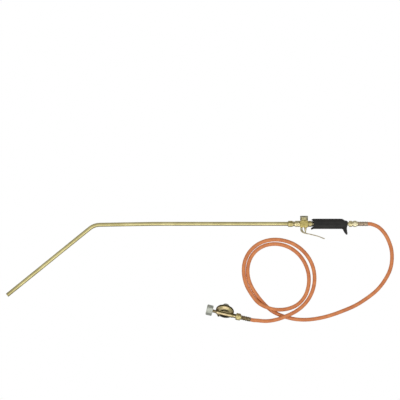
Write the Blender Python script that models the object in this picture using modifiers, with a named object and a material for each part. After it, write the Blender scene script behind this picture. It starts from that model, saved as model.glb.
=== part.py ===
"""Propane torch with its hose and cylinder regulator, laid flat. Metres, +Z up.

The torch lies on its side: +X runs along the lance towards the hose and +Y is the side of
the pilot knob. The origin is under the middle of the torch, on the surface it lies on.
"""
import math

import bmesh
import bpy
import numpy as np
from mathutils import Matrix, Vector

MM = 0.001
GAP = 0.3 * MM
WIDE = 60 * MM

# The torch's own frame: its origin is the middle of the valve block on the lance's axis.
TORCH_AT = (427.25 * MM, 113.45 * MM, 14.3 * MM)
TORCH_TILT = math.radians(0.395)

# Lance
TUBE_RADIUS = 7.0 * MM
TUBE_WALL = 1.2 * MM
LANCE_END_X = -46.6 * MM
DROOP_X = -520 * MM
DROOP_RADIUS = 3
BEND_AT = (-734.7 * MM, -3.7 * MM)
BEND_ANGLE = math.radians(38.98)
BEND_RADIUS = 58 * MM
BENT_LEG = 391.2 * MM

# Valve
BLOCK_HALF_X = 14 * MM
BLOCK_HALF_Z = 14 * MM
BLOCK_TOP = 12 * MM
BLOCK_BOTTOM = -12.4 * MM
PLUNGER_X = 4.8 * MM
SEAT_Y = -3 * MM
CHAMBER_TOP = 5.8 * MM
PIVOT = (-9.2 * MM, -17 * MM)
PIN_RADIUS = 2 * MM
EAR_RADIUS = 4 * MM
EAR_INNER = 5.3 * MM
EAR_OUTER = 7.3 * MM
# How wide the lever's cheeks are at shares of its length.
CHEEK_SHARES = (0, 0.06, 0.12, 0.2, 0.3, 1)
CHEEK_WIDTHS = (8 * MM, 8.4 * MM, 7.2 * MM, 5.4 * MM, 3.8 * MM, 3.2 * MM)

# Handle and the tube through it
GAS_TUBE_RADIUS = 6 * MM
GAS_TUBE_BORE = 4 * MM
GRIP_HALF_HEIGHT = 18.1 * MM
GRIP_HALF_THICKNESS = 14.5 * MM
GRIP_POWER = 2.6
GUARD_HALF_THICKNESS = 9 * MM
HANDLE_SCREWS = {
    "handle_screw_front": (39 * MM, 10.5 * MM),
    "handle_screw_middle": (90 * MM, -11.5 * MM),
    "handle_screw_rear": (143 * MM, -13 * MM),
}

# Hose and its ferrules
HOSE_RADIUS = 6.65 * MM
FERRULE_RADIUS = 7.8 * MM
NIPPLE_RADIUS = 4 * MM
TORCH_FERRULE = (189.0 * MM, 222.6 * MM)

# Regulator: its frame's origin is the middle of the joint between its two halves, X runs
# along the gas line towards the hose and Z points to the pressure knob.
LINE_TURN = math.radians(-13)
KNOB_LEAN = math.radians(50)
DISC_RADIUS = 32 * MM
LINE_DEPTH = -11 * MM
REGULATOR_AT = (150.2 * MM, -191.8 * MM, 26.95 * MM)
REGULATOR_FERRULE = (61.4 * MM, 94.1 * MM)
TEST_PORT = (-18 * MM, 0, -14.5 * MM)

# The hose's route between its ends: points along its middle, in millimetres.
HOSE_ROUTE = [
    (668, 111, 15.4), (686, 103, 13.9), (701, 90, 11.8), (715, 71, 9.6), (725, 50, 7.9),
    (732, 28, 7.0), (735, 4, 6.8), (734, -21, 6.8), (729, -45, 6.8), (719, -68, 6.8),
    (707, -88, 6.8), (692, -108, 6.8), (673, -127, 6.8), (644, -149, 6.8), (609, -171, 6.8),
    (566, -190, 6.8), (522, -206, 6.8), (478, -217, 6.8), (433, -222, 6.8), (396, -220, 6.8),
    (365, -213, 6.8), (337, -203, 6.8), (316, -192, 6.8), (300, -179, 6.8), (284, -163, 6.8),
    (260, -133, 6.8), (238, -94, 6.8), (230, -45, 6.8), (245, 2, 6.8), (280, 33, 6.8),
    (325, 43, 6.8), (371, 33, 6.8), (408, 7, 6.8), (431, -26, 6.8), (443, -63, 6.8),
    (443, -101, 6.8), (432, -137, 6.8), (407, -167, 7.2), (373, -183, 10.0), (340, -187, 15.5),
    (319, -185, 19.6), (301, -180, 21.0), (284, -173, 19.6), (267, -162, 15.6),
    (247, -138, 9.6), (228, -106, 7.0), (217, -66, 6.8), (218, -26, 6.8), (237, 16, 6.8),
    (273, 46, 6.8), (317, 58, 6.8), (361, 54, 6.8), (401, 37, 6.8), (432, 10, 6.8),
    (453, -23, 6.8), (463, -59, 6.8), (463, -96, 6.8), (453, -131, 6.8), (434, -162, 7.4),
    (411, -184, 10.6), (385, -200, 16.4), (360, -211, 20.9), (342, -218, 21.4),
    (323, -223, 23.0), (303, -226, 26.0), (282, -226, 29.6), (261, -224, 32.8),
]
HOSE_POINTS = 76
HOSE_LEAD = 6 * MM

BRASS = (0.55, 0.42, 0.16)
PALE_BRASS = (0.66, 0.55, 0.27)
DARK_BRASS = (0.30, 0.20, 0.09)
ZINC = (0.52, 0.54, 0.52)
BLACK = (0.016, 0.016, 0.013)
ORANGE = (0.60, 0.16, 0.04)
RUBBER = (0.02, 0.02, 0.02)

for old in list(bpy.data.objects):
    bpy.data.objects.remove(old, do_unlink=True)


def new_collection(name):
    made = bpy.data.collections.new(name)
    bpy.context.scene.collection.children.link(made)
    return made


PARTS = new_collection("propane_torch")
CUTTERS = new_collection("cutters")


def look(name, colour, roughness, metallic=0.0):
    """A plain material in the part's own colour."""
    made = bpy.data.materials.new(name)
    made.use_nodes = True
    shader = made.node_tree.nodes["Principled BSDF"]
    shader.inputs["Base Color"].default_value = (*colour, 1)
    shader.inputs["Roughness"].default_value = roughness
    shader.inputs["Metallic"].default_value = metallic
    return made


def brass(name, colour=BRASS, roughness=0.3):
    return look(name, colour, roughness, 1.0)


# ---------------------------------------------------------------- building helpers

AXIS_TURNS = {
    "X": (0, math.radians(90), 0),
    "Y": (math.radians(-90), 0, 0),
    "Z": (0, 0, 0),
}


def new_object(name, mesh, frame, axis="Z", at=(0, 0, 0)):
    """Put a mesh in a frame, its own Z along the frame's axis."""
    made = bpy.data.objects.new(name, mesh)
    PARTS.objects.link(made)
    made.parent = frame
    made.location = at
    made.rotation_euler = AXIS_TURNS[axis]
    return made


def finish(made, material, sharp=30):
    made.data.materials.clear()
    made.data.materials.append(material)
    made.data.shade_smooth()
    made.data.set_sharp_from_angle(angle=math.radians(sharp))
    return made


def turned(name, profile, frame, axis="Z", at=(0, 0, 0), closed=False, steps=16):
    """Turn a profile of (radius, height) points, which runs down its outer side."""
    mesh = bpy.data.meshes.new(name)
    corners = [(radius, 0, height) for radius, height in profile]
    edges = [(i, i + 1) for i in range(len(corners) - 1)]
    if closed:
        edges.append((len(corners) - 1, 0))
    mesh.from_pydata(corners, edges, [])
    made = new_object(name, mesh, frame, axis, at)
    screw = made.modifiers.new("turn", "SCREW")
    screw.steps = steps
    screw.render_steps = steps
    screw.use_merge_vertices = True
    screw.merge_threshold = 0.00001
    screw.use_smooth_shade = True
    return made


def sleeve(name, outer, inner, low, high, frame, axis="Z", at=(0, 0, 0), steps=16):
    """A plain tube or washer."""
    profile = [(outer, high), (outer, low), (inner, low), (inner, high)]
    return turned(name, profile, frame, axis, at, closed=True, steps=steps)


def rod(name, radius, low, high, frame, axis="Z", at=(0, 0, 0), steps=16):
    return turned(name, [(0, high), (radius, high), (radius, low), (0, low)], frame, axis, at,
                  steps=steps)


def combine(made, other, operation="DIFFERENCE"):
    """Cut with another object, or join it on. The other becomes a hidden guide."""
    boolean = made.modifiers.new(operation.lower(), "BOOLEAN")
    boolean.operation = operation
    boolean.solver = "EXACT"
    boolean.object = other
    PARTS.objects.unlink(other)
    CUTTERS.objects.link(other)
    other.hide_render = True
    other.display_type = "WIRE"
    return made


def weld(made):
    """Merge the slivers that several cuts leave behind."""
    modifier = made.modifiers.new("weld", "WELD")
    modifier.merge_threshold = 0.00002


def prism(name, sides, across_flats, low, high, frame, axis, at=(0, 0, 0), roll=0.0):
    """A regular prism, its axis along the frame's axis."""
    mesh = bpy.data.meshes.new(name)
    shape = bmesh.new()
    radius = across_flats / 2 / math.cos(math.pi / sides)
    bmesh.ops.create_cone(shape, cap_ends=True, segments=sides, radius1=radius,
                          radius2=radius, depth=high - low)
    place = Matrix.Translation((0, 0, (low + high) / 2)) @ Matrix.Rotation(roll, 4, "Z")
    bmesh.ops.transform(shape, matrix=place, verts=shape.verts)
    shape.to_mesh(mesh)
    shape.free()
    return new_object(name, mesh, frame, axis, at)


def hex_nut(name, across_flats, low, high, bore, frame, axis="X", at=(0, 0, 0), roll=15,
            steps=18):
    """A hexagon with chamfered corners. The bore is a turned profile to cut, or None."""
    made = prism(name, 6, across_flats, low, high, frame, axis, at, math.radians(roll))
    corner = across_flats * 0.62
    chamfer = across_flats * 0.09
    ring = across_flats / 2
    lip = 0.5 * MM
    tip = ring - lip * (corner - ring) / chamfer
    barrel = turned(name + "_chamfer", [
        (0, high + lip), (tip, high + lip), (corner, high - chamfer),
        (corner, low + chamfer), (tip, low - lip), (0, low - lip)], frame, axis, at,
        steps=steps)
    combine(made, barrel, "INTERSECT")
    if bore:
        combine(made, turned(name + "_bore", bore, frame, axis, at, steps=max(16, steps)))
    return made


def block(name, low, high, frame, edge=0.0):
    """A box between two corners, its edges rounded if asked."""
    mesh = bpy.data.meshes.new(name)
    shape = bmesh.new()
    bmesh.ops.create_cube(shape, size=1)
    size = [b - a for a, b in zip(low, high)]
    middle = [(a + b) / 2 for a, b in zip(low, high)]
    place = Matrix.Translation(middle) @ Matrix.Diagonal((*size, 1))
    bmesh.ops.transform(shape, matrix=place, verts=shape.verts)
    shape.to_mesh(mesh)
    shape.free()
    made = new_object(name, mesh, frame)
    if edge:
        bevel = made.modifiers.new("edges", "BEVEL")
        bevel.width = edge
        bevel.segments = 1
    return made


def baked(curve_object, name, frame, axis="Z", at=(0, 0, 0)):
    """Turn a curve object into a welded mesh object in the same place."""
    bpy.context.view_layer.update()
    seen = curve_object.evaluated_get(bpy.context.evaluated_depsgraph_get())
    mesh = bpy.data.meshes.new_from_object(seen)
    shape = bmesh.new()
    shape.from_mesh(mesh)
    bmesh.ops.remove_doubles(shape, verts=shape.verts, dist=0.00001)
    bmesh.ops.recalc_face_normals(shape, faces=shape.faces)
    shape.to_mesh(mesh)
    shape.free()
    bpy.data.objects.remove(curve_object, do_unlink=True)
    return new_object(name, mesh, frame, axis, at)


def path_curve(name, points, closed=False):
    """A curve object through points, as straight pieces."""
    curve = bpy.data.curves.new(name, "CURVE")
    curve.dimensions = "3D"
    spline = curve.splines.new("POLY")
    spline.points.add(len(points) - 1)
    for point, place in zip(spline.points, points):
        point.co = (*place, 1)
    spline.use_cyclic_u = closed
    made = bpy.data.objects.new(name, curve)
    PARTS.objects.link(made)
    return made


def plate(name, outline, low, high, frame, axis="Z", at=(0, 0, 0)):
    """A flat outline of (x, y) points, made thick from low to high."""
    drawn = path_curve(name + "_outline", [(x, y, 0) for x, y in outline], closed=True)
    drawn.data.dimensions = "2D"
    drawn.data.fill_mode = "BOTH"
    drawn.data.extrude = (high - low) / 2
    made = baked(drawn, name, frame, axis, at)
    made.data.transform(Matrix.Translation((0, 0, (low + high) / 2)))
    return made


def arc(centre, radius, start, end, count):
    """Points along an arc, its angles in degrees."""
    points = []
    for angle in np.linspace(math.radians(start), math.radians(end), count):
        points.append((centre[0] + radius * math.cos(angle),
                       centre[1] + radius * math.sin(angle)))
    return points


def smooth_path(points, start_way, end_way, count):
    """Evenly spaced points on one smooth curve through the given points."""
    knots = np.array(points, dtype=float)
    steps = np.linalg.norm(np.diff(knots, axis=0), axis=1)
    last = len(knots) - 1
    system = np.eye(last + 1)
    wanted = np.zeros_like(knots)
    wanted[0] = np.array(start_way) / np.linalg.norm(start_way)
    wanted[last] = np.array(end_way) / np.linalg.norm(end_way)
    for i in range(1, last):
        before, after = steps[i - 1], steps[i]
        system[i, i - 1:i + 2] = (after, 2 * (before + after), before)
        wanted[i] = 3 * (after * (knots[i] - knots[i - 1]) / before
                         + before * (knots[i + 1] - knots[i]) / after)
    ways = np.linalg.solve(system, wanted)
    fine = []
    for i in range(last):
        for s in np.linspace(0, 1, 30, endpoint=False):
            fine.append((2 * s**3 - 3 * s**2 + 1) * knots[i]
                        + (s**3 - 2 * s**2 + s) * steps[i] * ways[i]
                        + (3 * s**2 - 2 * s**3) * knots[i + 1]
                        + (s**3 - s**2) * steps[i] * ways[i + 1])
    fine.append(knots[last])
    fine = np.array(fine)
    run = np.concatenate([[0], np.cumsum(np.linalg.norm(np.diff(fine, axis=0), axis=1))])
    places = np.linspace(0, run[-1], count)
    return np.column_stack([np.interp(places, run, fine[:, k]) for k in range(3)])


def coil_spring(name, coil_radius, wire_radius, low, high, turns, frame, axis, at=(0, 0, 0)):
    """A round wire spring with its axis along the frame's axis."""
    count = int(turns * 10) + 1
    points = []
    for i in range(count):
        share = i / (count - 1)
        angle = 2 * math.pi * turns * share
        height = low + wire_radius + share * (high - low - 2 * wire_radius)
        points.append((coil_radius * math.cos(angle), coil_radius * math.sin(angle), height))
    drawn = path_curve(name + "_wire", points)
    drawn.data.bevel_depth = wire_radius
    drawn.data.bevel_resolution = 0
    drawn.data.use_fill_caps = True
    return baked(drawn, name, frame, axis, at)


def ribbon(path, widths):
    """The outline of a strip that follows a path, with its width at each point."""
    path = np.array(path)
    ways = np.gradient(path, axis=0)
    ways /= np.linalg.norm(ways, axis=1)[:, None]
    sides = np.column_stack([-ways[:, 1], ways[:, 0]]) * np.array(widths)[:, None] / 2
    return [tuple(p) for p in path + sides] + [tuple(p) for p in (path - sides)[::-1]]


def new_frame(name, place):
    made = bpy.data.objects.new(name, None)
    PARTS.objects.link(made)
    made.matrix_world = place
    return made


# ---------------------------------------------------------------- lance

def rounded_corner(corner, radius, before, after, count):
    """Points on the arc that rounds a path's corner, between its two directions."""
    reach = radius * math.tan((before - after) / 2)
    centre = (corner[0] - reach * math.cos(before) + radius * math.sin(before),
              corner[1] - reach * math.sin(before) - radius * math.cos(before))
    return arc(centre, radius, 90 + math.degrees(before), 90 + math.degrees(after), count)


def lance_path():
    """The tube's middle, from its mouth over the bend and a slight droop to the valve."""
    mouth = (BEND_AT[0] - BENT_LEG * math.cos(BEND_ANGLE),
             BEND_AT[1] - BENT_LEG * math.sin(BEND_ANGLE))
    droop = math.atan2(-BEND_AT[1], DROOP_X - BEND_AT[0])
    flat = [mouth] + rounded_corner(BEND_AT, BEND_RADIUS, BEND_ANGLE, droop, 8)
    flat += rounded_corner((DROOP_X, 0), DROOP_RADIUS, droop, 0, 3) + [(LANCE_END_X, 0)]
    return [(x, y, 0) for x, y in flat]


def make_lance(torch):
    drawn = path_curve("lance_line", lance_path())
    drawn.data.bevel_depth = TUBE_RADIUS
    drawn.data.bevel_resolution = 4
    tube = baked(drawn, "lance_tube", torch)
    wall = tube.modifiers.new("wall", "SOLIDIFY")
    wall.thickness = TUBE_WALL
    wall.offset = -1
    finish(tube, brass("lance_brass"), sharp=50)

    bore = TUBE_RADIUS - TUBE_WALL - GAP
    mouth = lance_path()[0]
    jet = turned("gas_jet", [
        (bore, 32 * MM), (bore, 22 * MM), (3 * MM, 16 * MM), (1.2 * MM, 16 * MM),
        (1.2 * MM, 24 * MM), (2.5 * MM, 32 * MM)], torch, "X", mouth, closed=True)
    jet.rotation_euler = (Matrix.Rotation(BEND_ANGLE, 4, "Z")
                          @ Matrix.Rotation(math.radians(90), 4, "Y")).to_euler()
    finish(jet, brass("jet_brass", PALE_BRASS))

    nut = hex_nut("lance_nut", 19 * MM, -55.3 * MM, -39.6 * MM, [
        (0, -38 * MM), (7.5 * MM, -38 * MM), (7.5 * MM, -50 * MM),
        (7.3 * MM, -50 * MM), (7.3 * MM, -57 * MM), (0, -57 * MM)], torch)
    finish(nut, brass("nut_brass"))
    seal = sleeve("lance_seal", 7.0 * MM, 4.5 * MM, -46.3 * MM, -45.3 * MM, torch, "X")
    finish(seal, look("seal_rubber", RUBBER, 0.6))

    union = hex_nut("outlet_union", 19 * MM, -31.5 * MM, -14.7 * MM, None, torch)
    core = turned("union_core", [
        (0, -6 * MM), (6 * MM, -6 * MM), (6 * MM, -24 * MM), (8.6 * MM, -24 * MM),
        (8.6 * MM, -39.3 * MM), (7.2 * MM, -39.3 * MM), (7.2 * MM, -45 * MM), (0, -45 * MM)],
        torch, "X")
    combine(union, core, "UNION")
    combine(union, rod("union_passage", 3 * MM, -WIDE, 0, torch, "X"))
    finish(union, brass("union_brass", PALE_BRASS))


# ---------------------------------------------------------------- valve

def make_valve_body(torch):
    body = block("valve_body", (-BLOCK_HALF_X, BLOCK_BOTTOM, -BLOCK_HALF_Z),
                 (BLOCK_HALF_X, BLOCK_TOP, BLOCK_HALF_Z), torch, edge=1.2 * MM)
    lug = plate("lever_lug", [(PIVOT[0] + EAR_RADIUS, BLOCK_BOTTOM + 2 * MM)]
                + arc(PIVOT, EAR_RADIUS, 0, -180, 9)
                + [(PIVOT[0] - EAR_RADIUS, BLOCK_BOTTOM + 2 * MM)],
                -EAR_INNER + GAP, EAR_INNER - GAP, torch)
    combine(body, lug, "UNION")
    combine(body, rod("pin_hole", PIN_RADIUS + GAP, -WIDE, WIDE, torch, "Z", (*PIVOT, 0)))
    chamber = turned("valve_chamber", [
        (0, CHAMBER_TOP), (5.5 * MM, CHAMBER_TOP), (5.5 * MM, SEAT_Y), (3 * MM, SEAT_Y),
        (3 * MM, -6.5 * MM), (5.5 * MM, -6.5 * MM), (5.5 * MM, -20 * MM), (0, -20 * MM)],
        torch, "Y", (PLUNGER_X, 0, 0))
    combine(body, chamber)
    bonnet_seat = turned("bonnet_seat", [
        (0, 20 * MM), (10 * MM, 20 * MM), (10 * MM, 9.8 * MM), (8 * MM, 9.8 * MM),
        (8 * MM, 7 * MM), (0, 7 * MM)], torch, "Y")
    combine(body, bonnet_seat)
    combine(body, rod("inlet_port", 6.3 * MM, 10.9 * MM, 20 * MM, torch, "X"))
    combine(body, rod("inlet_passage", 3 * MM, 6 * MM, 12 * MM, torch, "X"))
    combine(body, rod("outlet_port", 6.3 * MM, -20 * MM, -5.7 * MM, torch, "X"))
    combine(body, rod("outlet_passage", 1.5 * MM, -7 * MM, 4 * MM, torch, "X",
                      (0, -4.6 * MM, 0), steps=12))
    for name, x in (("pilot_in", 0.6 * MM), ("pilot_out", -6.5 * MM)):
        combine(body, rod(name, 1.2 * MM, 4 * MM, 8 * MM, torch, "Y", (x, 0, 0), steps=12))
    finish(body, brass("block_brass"))


def make_pilot(torch):
    bonnet = turned("pilot_bonnet", [
        (13.7 * MM, 22.4 * MM), (13.7 * MM, 13 * MM), (13 * MM, 12.3 * MM),
        (7.7 * MM, 12.3 * MM), (7.7 * MM, 7.4 * MM), (2.8 * MM, 7.4 * MM),
        (2.8 * MM, 23 * MM), (13 * MM, 23 * MM)], torch, "Y", closed=True)
    finish(bonnet, brass("bonnet_brass"))
    ring = turned("bonnet_o_ring", [
        (8.9 * MM + 0.85 * MM * math.cos(a), 10.95 * MM - 0.85 * MM * math.sin(a))
        for a in np.linspace(0, 2 * math.pi, 6, endpoint=False)], torch, "Y", closed=True)
    finish(ring, look("o_ring_rubber", RUBBER, 0.5))

    knurl = []
    for i in range(48):
        angle = 2 * math.pi * i / 48
        radius = 14 * MM if i % 2 else 13.5 * MM
        knurl.append((radius * math.cos(angle), radius * math.sin(angle)))
    knob = plate("pilot_knob", knurl, 23.3 * MM, 28.2 * MM, torch, "Y")
    combine(knob, rod("knob_socket", 2.8 * MM, 20 * MM, 26.5 * MM, torch, "Y"))
    finish(knob, look("knob_zinc", (0.10, 0.10, 0.08), 0.45, 1.0))
    needle = turned("pilot_needle", [
        (0, 26.2 * MM), (2.5 * MM, 26.2 * MM), (2.5 * MM, 9.5 * MM), (0.7 * MM, 7.2 * MM),
        (0, 7.2 * MM)], torch, "Y")
    finish(needle, look("needle_steel", (0.5, 0.5, 0.5), 0.25, 1.0))


def lever_path(first, last, count):
    """Part of the bent strip's middle, as (x, y) points from its pivot."""
    bends = [(PIVOT[0], PIVOT[1]), (-8.6, -22.6), (-5.4, -27.2), (1.0, -31.3), (9.8, -33.9),
             (25.5, -37.3), (42.3, -41.5), (54.6, -45.4), (65.5, -50.0), (72.1, -51.6)]
    route = [bends[0] + (0,)] + [(x * MM, y * MM, 0) for x, y in bends[1:]]
    whole = smooth_path(route, (0.05, -1, 0), (1, -0.2, 0), 121)[:, :2] - np.array(PIVOT)
    picks = np.linspace(first * 120, last * 120, count).round().astype(int)
    return whole[picks]


def make_lever(torch):
    at = (*PIVOT, 0)
    strip_path = lever_path(0.11, 1.0, 12)
    strip = plate("lever", ribbon(strip_path, [2.2 * MM] * 12), -EAR_OUTER, EAR_OUTER, torch,
                  "Z", at)
    cheek_path = lever_path(0.0, 1.0, 18)
    outline = ribbon(cheek_path, np.interp(np.linspace(0, 1, 18), CHEEK_SHARES, CHEEK_WIDTHS))
    outline += arc((0, 0), EAR_RADIUS, 170, 10, 7)
    for side in (-1, 1):
        low, high = sorted((side * EAR_INNER, side * (EAR_OUTER + 0.02 * MM)))
        combine(strip, plate(f"cheek_{side}", outline, low, high, torch, "Z", at), "UNION")
    combine(strip, rod("lever_bore", PIN_RADIUS + GAP, -WIDE, WIDE, torch, "Z", at))
    finish(strip, look("lever_zinc", ZINC, 0.35, 1.0))

    head = EAR_OUTER + 0.4 * MM
    pin = turned("lever_pin", [
        (0, head + 1.2 * MM), (2.9 * MM, head + 1.2 * MM), (2.9 * MM, head),
        (PIN_RADIUS, head), (PIN_RADIUS, -head), (2.9 * MM, -head),
        (2.9 * MM, -head - 1.2 * MM), (0, -head - 1.2 * MM)], torch, "Z", at)
    finish(pin, look("pin_steel", ZINC, 0.3, 1.0))


def make_plunger(torch):
    at = (PLUNGER_X, 0, 0)
    gland = turned("plunger_gland", [
        (5.2 * MM, -6.8 * MM), (5.2 * MM, -12.7 * MM), (6 * MM, -12.7 * MM),
        (6 * MM, -13.9 * MM), (4.3 * MM, -13.9 * MM), (4.3 * MM, -6.8 * MM)],
        torch, "Y", at, closed=True)
    finish(gland, brass("gland_brass", PALE_BRASS))
    plunger = turned("valve_plunger", [
        (0, SEAT_Y), (1.7 * MM, SEAT_Y), (1.7 * MM, -9.9 * MM), (4 * MM, -9.9 * MM),
        (4 * MM, -17 * MM), (1.6 * MM, -29.5 * MM), (0.9 * MM, -30.5 * MM), (0, -30.8 * MM)],
        torch, "Y", at, steps=20)
    finish(plunger, brass("plunger_brass"))
    disc = rod("valve_disc", 4.3 * MM, SEAT_Y + GAP, SEAT_Y + 2.1 * MM, torch, "Y", at, 16)
    finish(disc, look("disc_rubber", RUBBER, 0.6))
    spring = coil_spring("valve_spring", 3.5 * MM, 0.35 * MM, SEAT_Y + 2.4 * MM,
                         CHAMBER_TOP - GAP, 3, torch, "Y", at)
    finish(spring, look("spring_steel", ZINC, 0.3, 1.0), sharp=60)


# ---------------------------------------------------------------- handle

def grip_half(y):
    """Half the grip's thickness at height y."""
    return GRIP_HALF_THICKNESS * (1 - abs(y / GRIP_HALF_HEIGHT) ** GRIP_POWER) ** (
        1 / GRIP_POWER)


def handle_side():
    """The handle seen from its side, with its hook in front and its guard behind."""
    front = [(25.4, 12.9)] + arc((17.6, 0), 15.9, 46, -62, 9)
    hook = [(23.9, -15.0), (24.6, -19.6), (25.9, -20.9), (28.2, -19.6), (32.5, -17.8)]
    guard = [(131.5, -17.8), (135.0, -19.0), (138.2, -23.3), (144.4, -34.1), (145.9, -36.9),
             (148.0, -38.2), (150.8, -37.4), (152.2, -34.6), (149.9, -20.0), (149.9, -13.0),
             (151.3, -7.0), (153.0, -1.0), (153.2, 4.0), (152.3, 8.6), (149.6, 11.0)]
    top = [(145.5, 11.6), (141.4, 12.2), (137.6, 15.4), (133.4, 17.4), (127.5, 18.0),
           (80.0, 18.4), (32.0, 18.0), (28.6, 16.6), (26.2, 14.6)]
    return [(x * MM, y * MM) for x, y in front + hook + guard + top]


def handle_section():
    """The handle seen along the torch: an oval grip on a narrower tongue, as (z, y)."""
    tongue_y = -GRIP_HALF_HEIGHT * (
        1 - (GUARD_HALF_THICKNESS / GRIP_HALF_THICKNESS) ** GRIP_POWER) ** (1 / GRIP_POWER)
    heights = GRIP_HALF_HEIGHT * np.sin(np.linspace(math.asin(tongue_y / GRIP_HALF_HEIGHT),
                                                   math.pi / 2, 13))
    right = [(grip_half(y), y) for y in heights]
    left = [(-z, y) for z, y in right[-2::-1]]
    corner = 4 * MM
    side = GUARD_HALF_THICKNESS - corner
    base = arc((-side, -35 * MM), corner, 180, 270, 4) + arc((side, -35 * MM), corner,
                                                              270, 360, 4)
    return right + left + base


def handle_form(name, torch):
    form = plate(name, handle_side(), -20 * MM, 20 * MM, torch)
    section = plate(name + "_section", handle_section(), 20 * MM, 160 * MM, torch, "X")
    return combine(form, section, "INTERSECT")


def make_shell(name, side, torch):
    """One half of the handle: side is 1 above the parting plane and -1 below it."""
    shell = handle_form(name, torch)
    split = sorted((side * GAP / 2, -side * WIDE))
    combine(shell, block(name + "_split", (0, -WIDE, split[0]),
                         (200 * MM, WIDE, split[1]), torch))
    combine(shell, rod(name + "_bore", GAS_TUBE_RADIUS + GAP, 0, 200 * MM, torch, "X"))
    for start, end in ((46, 83), (97, 127)):
        combine(shell, block(f"{name}_hollow_{start}", (start * MM, -12 * MM, -9.8 * MM),
                             (end * MM, 12 * MM, 9.8 * MM), torch))
    for screw, (x, y) in HANDLE_SCREWS.items():
        if side > 0:
            hole = rod(f"{screw}_pilot", 1.8 * MM, -5 * MM, grip_half(y) - 3 * MM, torch,
                       "Z", (x, y, 0), 12)
        else:
            seat = -grip_half(y) + 2.9 * MM
            hole = turned(f"{screw}_well", [
                (0, 5 * MM), (1.9 * MM, 5 * MM), (1.9 * MM, seat), (3.8 * MM, seat),
                (3.8 * MM, -WIDE), (0, -WIDE)], torch, "Z", (x, y, 0), steps=12)
        combine(shell, hole)
    return shell


def make_handle(torch):
    for name, side in (("handle_shell_upper", 1), ("handle_shell_lower", -1)):
        finish(make_shell(name, side, torch), look(name + "_plastic", BLACK, 0.45), sharp=40)
    for name, (x, y) in HANDLE_SCREWS.items():
        seat = -grip_half(y) + 2.6 * MM
        tip = grip_half(y) - 3.4 * MM
        screw = turned(name, [
            (0, tip), (1.5 * MM, tip), (1.5 * MM, seat), (3.5 * MM, seat),
            (3.5 * MM, seat - 1.6 * MM), (2.6 * MM, seat - 2.2 * MM), (0, seat - 2.2 * MM)],
            torch, "Z", (x, y, 0), steps=12)
        finish(screw, look(name + "_steel", ZINC, 0.35, 1.0))


def make_gas_line(torch):
    """The tube through the handle with the fittings in front of it and behind it."""
    tube = sleeve("gas_tube", GAS_TUBE_RADIUS, GAS_TUBE_BORE, 11.2 * MM, 171 * MM, torch, "X")
    finish(tube, brass("tube_brass", PALE_BRASS))
    bore = GAS_TUBE_RADIUS + GAP

    collar = hex_nut("inlet_collar", 18.5 * MM, 14.3 * MM, 25.4 * MM, [
        (0, 40 * MM), (bore, 40 * MM), (bore, 0), (0, 0)], torch, roll=8)
    finish(collar, brass("collar_brass"))
    ring = turned("collar_ring", [
        (7.4 * MM, 31.2 * MM), (9 * MM, 29.6 * MM), (9.6 * MM, 27.6 * MM),
        (9.6 * MM, 25.7 * MM), (bore, 25.7 * MM), (bore, 31.2 * MM)],
        torch, "X", closed=True)
    finish(ring, brass("ring_brass", (0.72, 0.66, 0.48)))

    rear = hex_nut("rear_nut", 19 * MM, 156.6 * MM, 171.8 * MM, [
        (0, 180 * MM), (bore, 180 * MM), (bore, 140 * MM), (0, 140 * MM)], torch)
    finish(rear, brass("rear_nut_brass"))
    union = hex_nut("hose_union_nut", 19 * MM, 172.1 * MM, 188.7 * MM, [
        (0, 175.8 * MM), (7.2 * MM, 175.8 * MM), (7.2 * MM, 165 * MM), (0, 165 * MM)],
        torch, roll=8)
    combine(union, rod("union_nut_bore", NIPPLE_RADIUS + GAP, 160 * MM, 200 * MM, torch, "X"))
    finish(union, brass("hose_union_brass", PALE_BRASS))


def make_ferrule(name, nipple_name, low, high, flange, frame, at):
    """A crimped ferrule with three crimps, and the hose nipple inside it."""
    length = high - low
    profile = [(NIPPLE_RADIUS + GAP, high), (FERRULE_RADIUS - 1 * MM, high),
               (FERRULE_RADIUS, high - 1 * MM)]
    for i in range(3):
        groove = high - length * (0.2 + 0.3 * i)
        profile += [(FERRULE_RADIUS, groove + 1.8 * MM), (FERRULE_RADIUS - 0.8 * MM, groove),
                    (FERRULE_RADIUS, groove - 1.8 * MM)]
    profile += [(FERRULE_RADIUS, low + 1 * MM), (FERRULE_RADIUS - 1 * MM, low),
                (NIPPLE_RADIUS + GAP, low)]
    made = turned(name, profile, frame, "X", at, closed=True)
    finish(made, brass(name + "_brass", DARK_BRASS))

    flange_low, flange_high, flange_radius = flange
    nipple = turned(nipple_name, [
        (2.5 * MM, high - GAP), (NIPPLE_RADIUS, high - GAP), (NIPPLE_RADIUS, flange_high),
        (flange_radius, flange_high), (flange_radius, flange_low), (2.5 * MM, flange_low)],
        frame, "X", at, closed=True)
    finish(nipple, brass(nipple_name + "_brass"))


# ---------------------------------------------------------------- regulator

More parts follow.
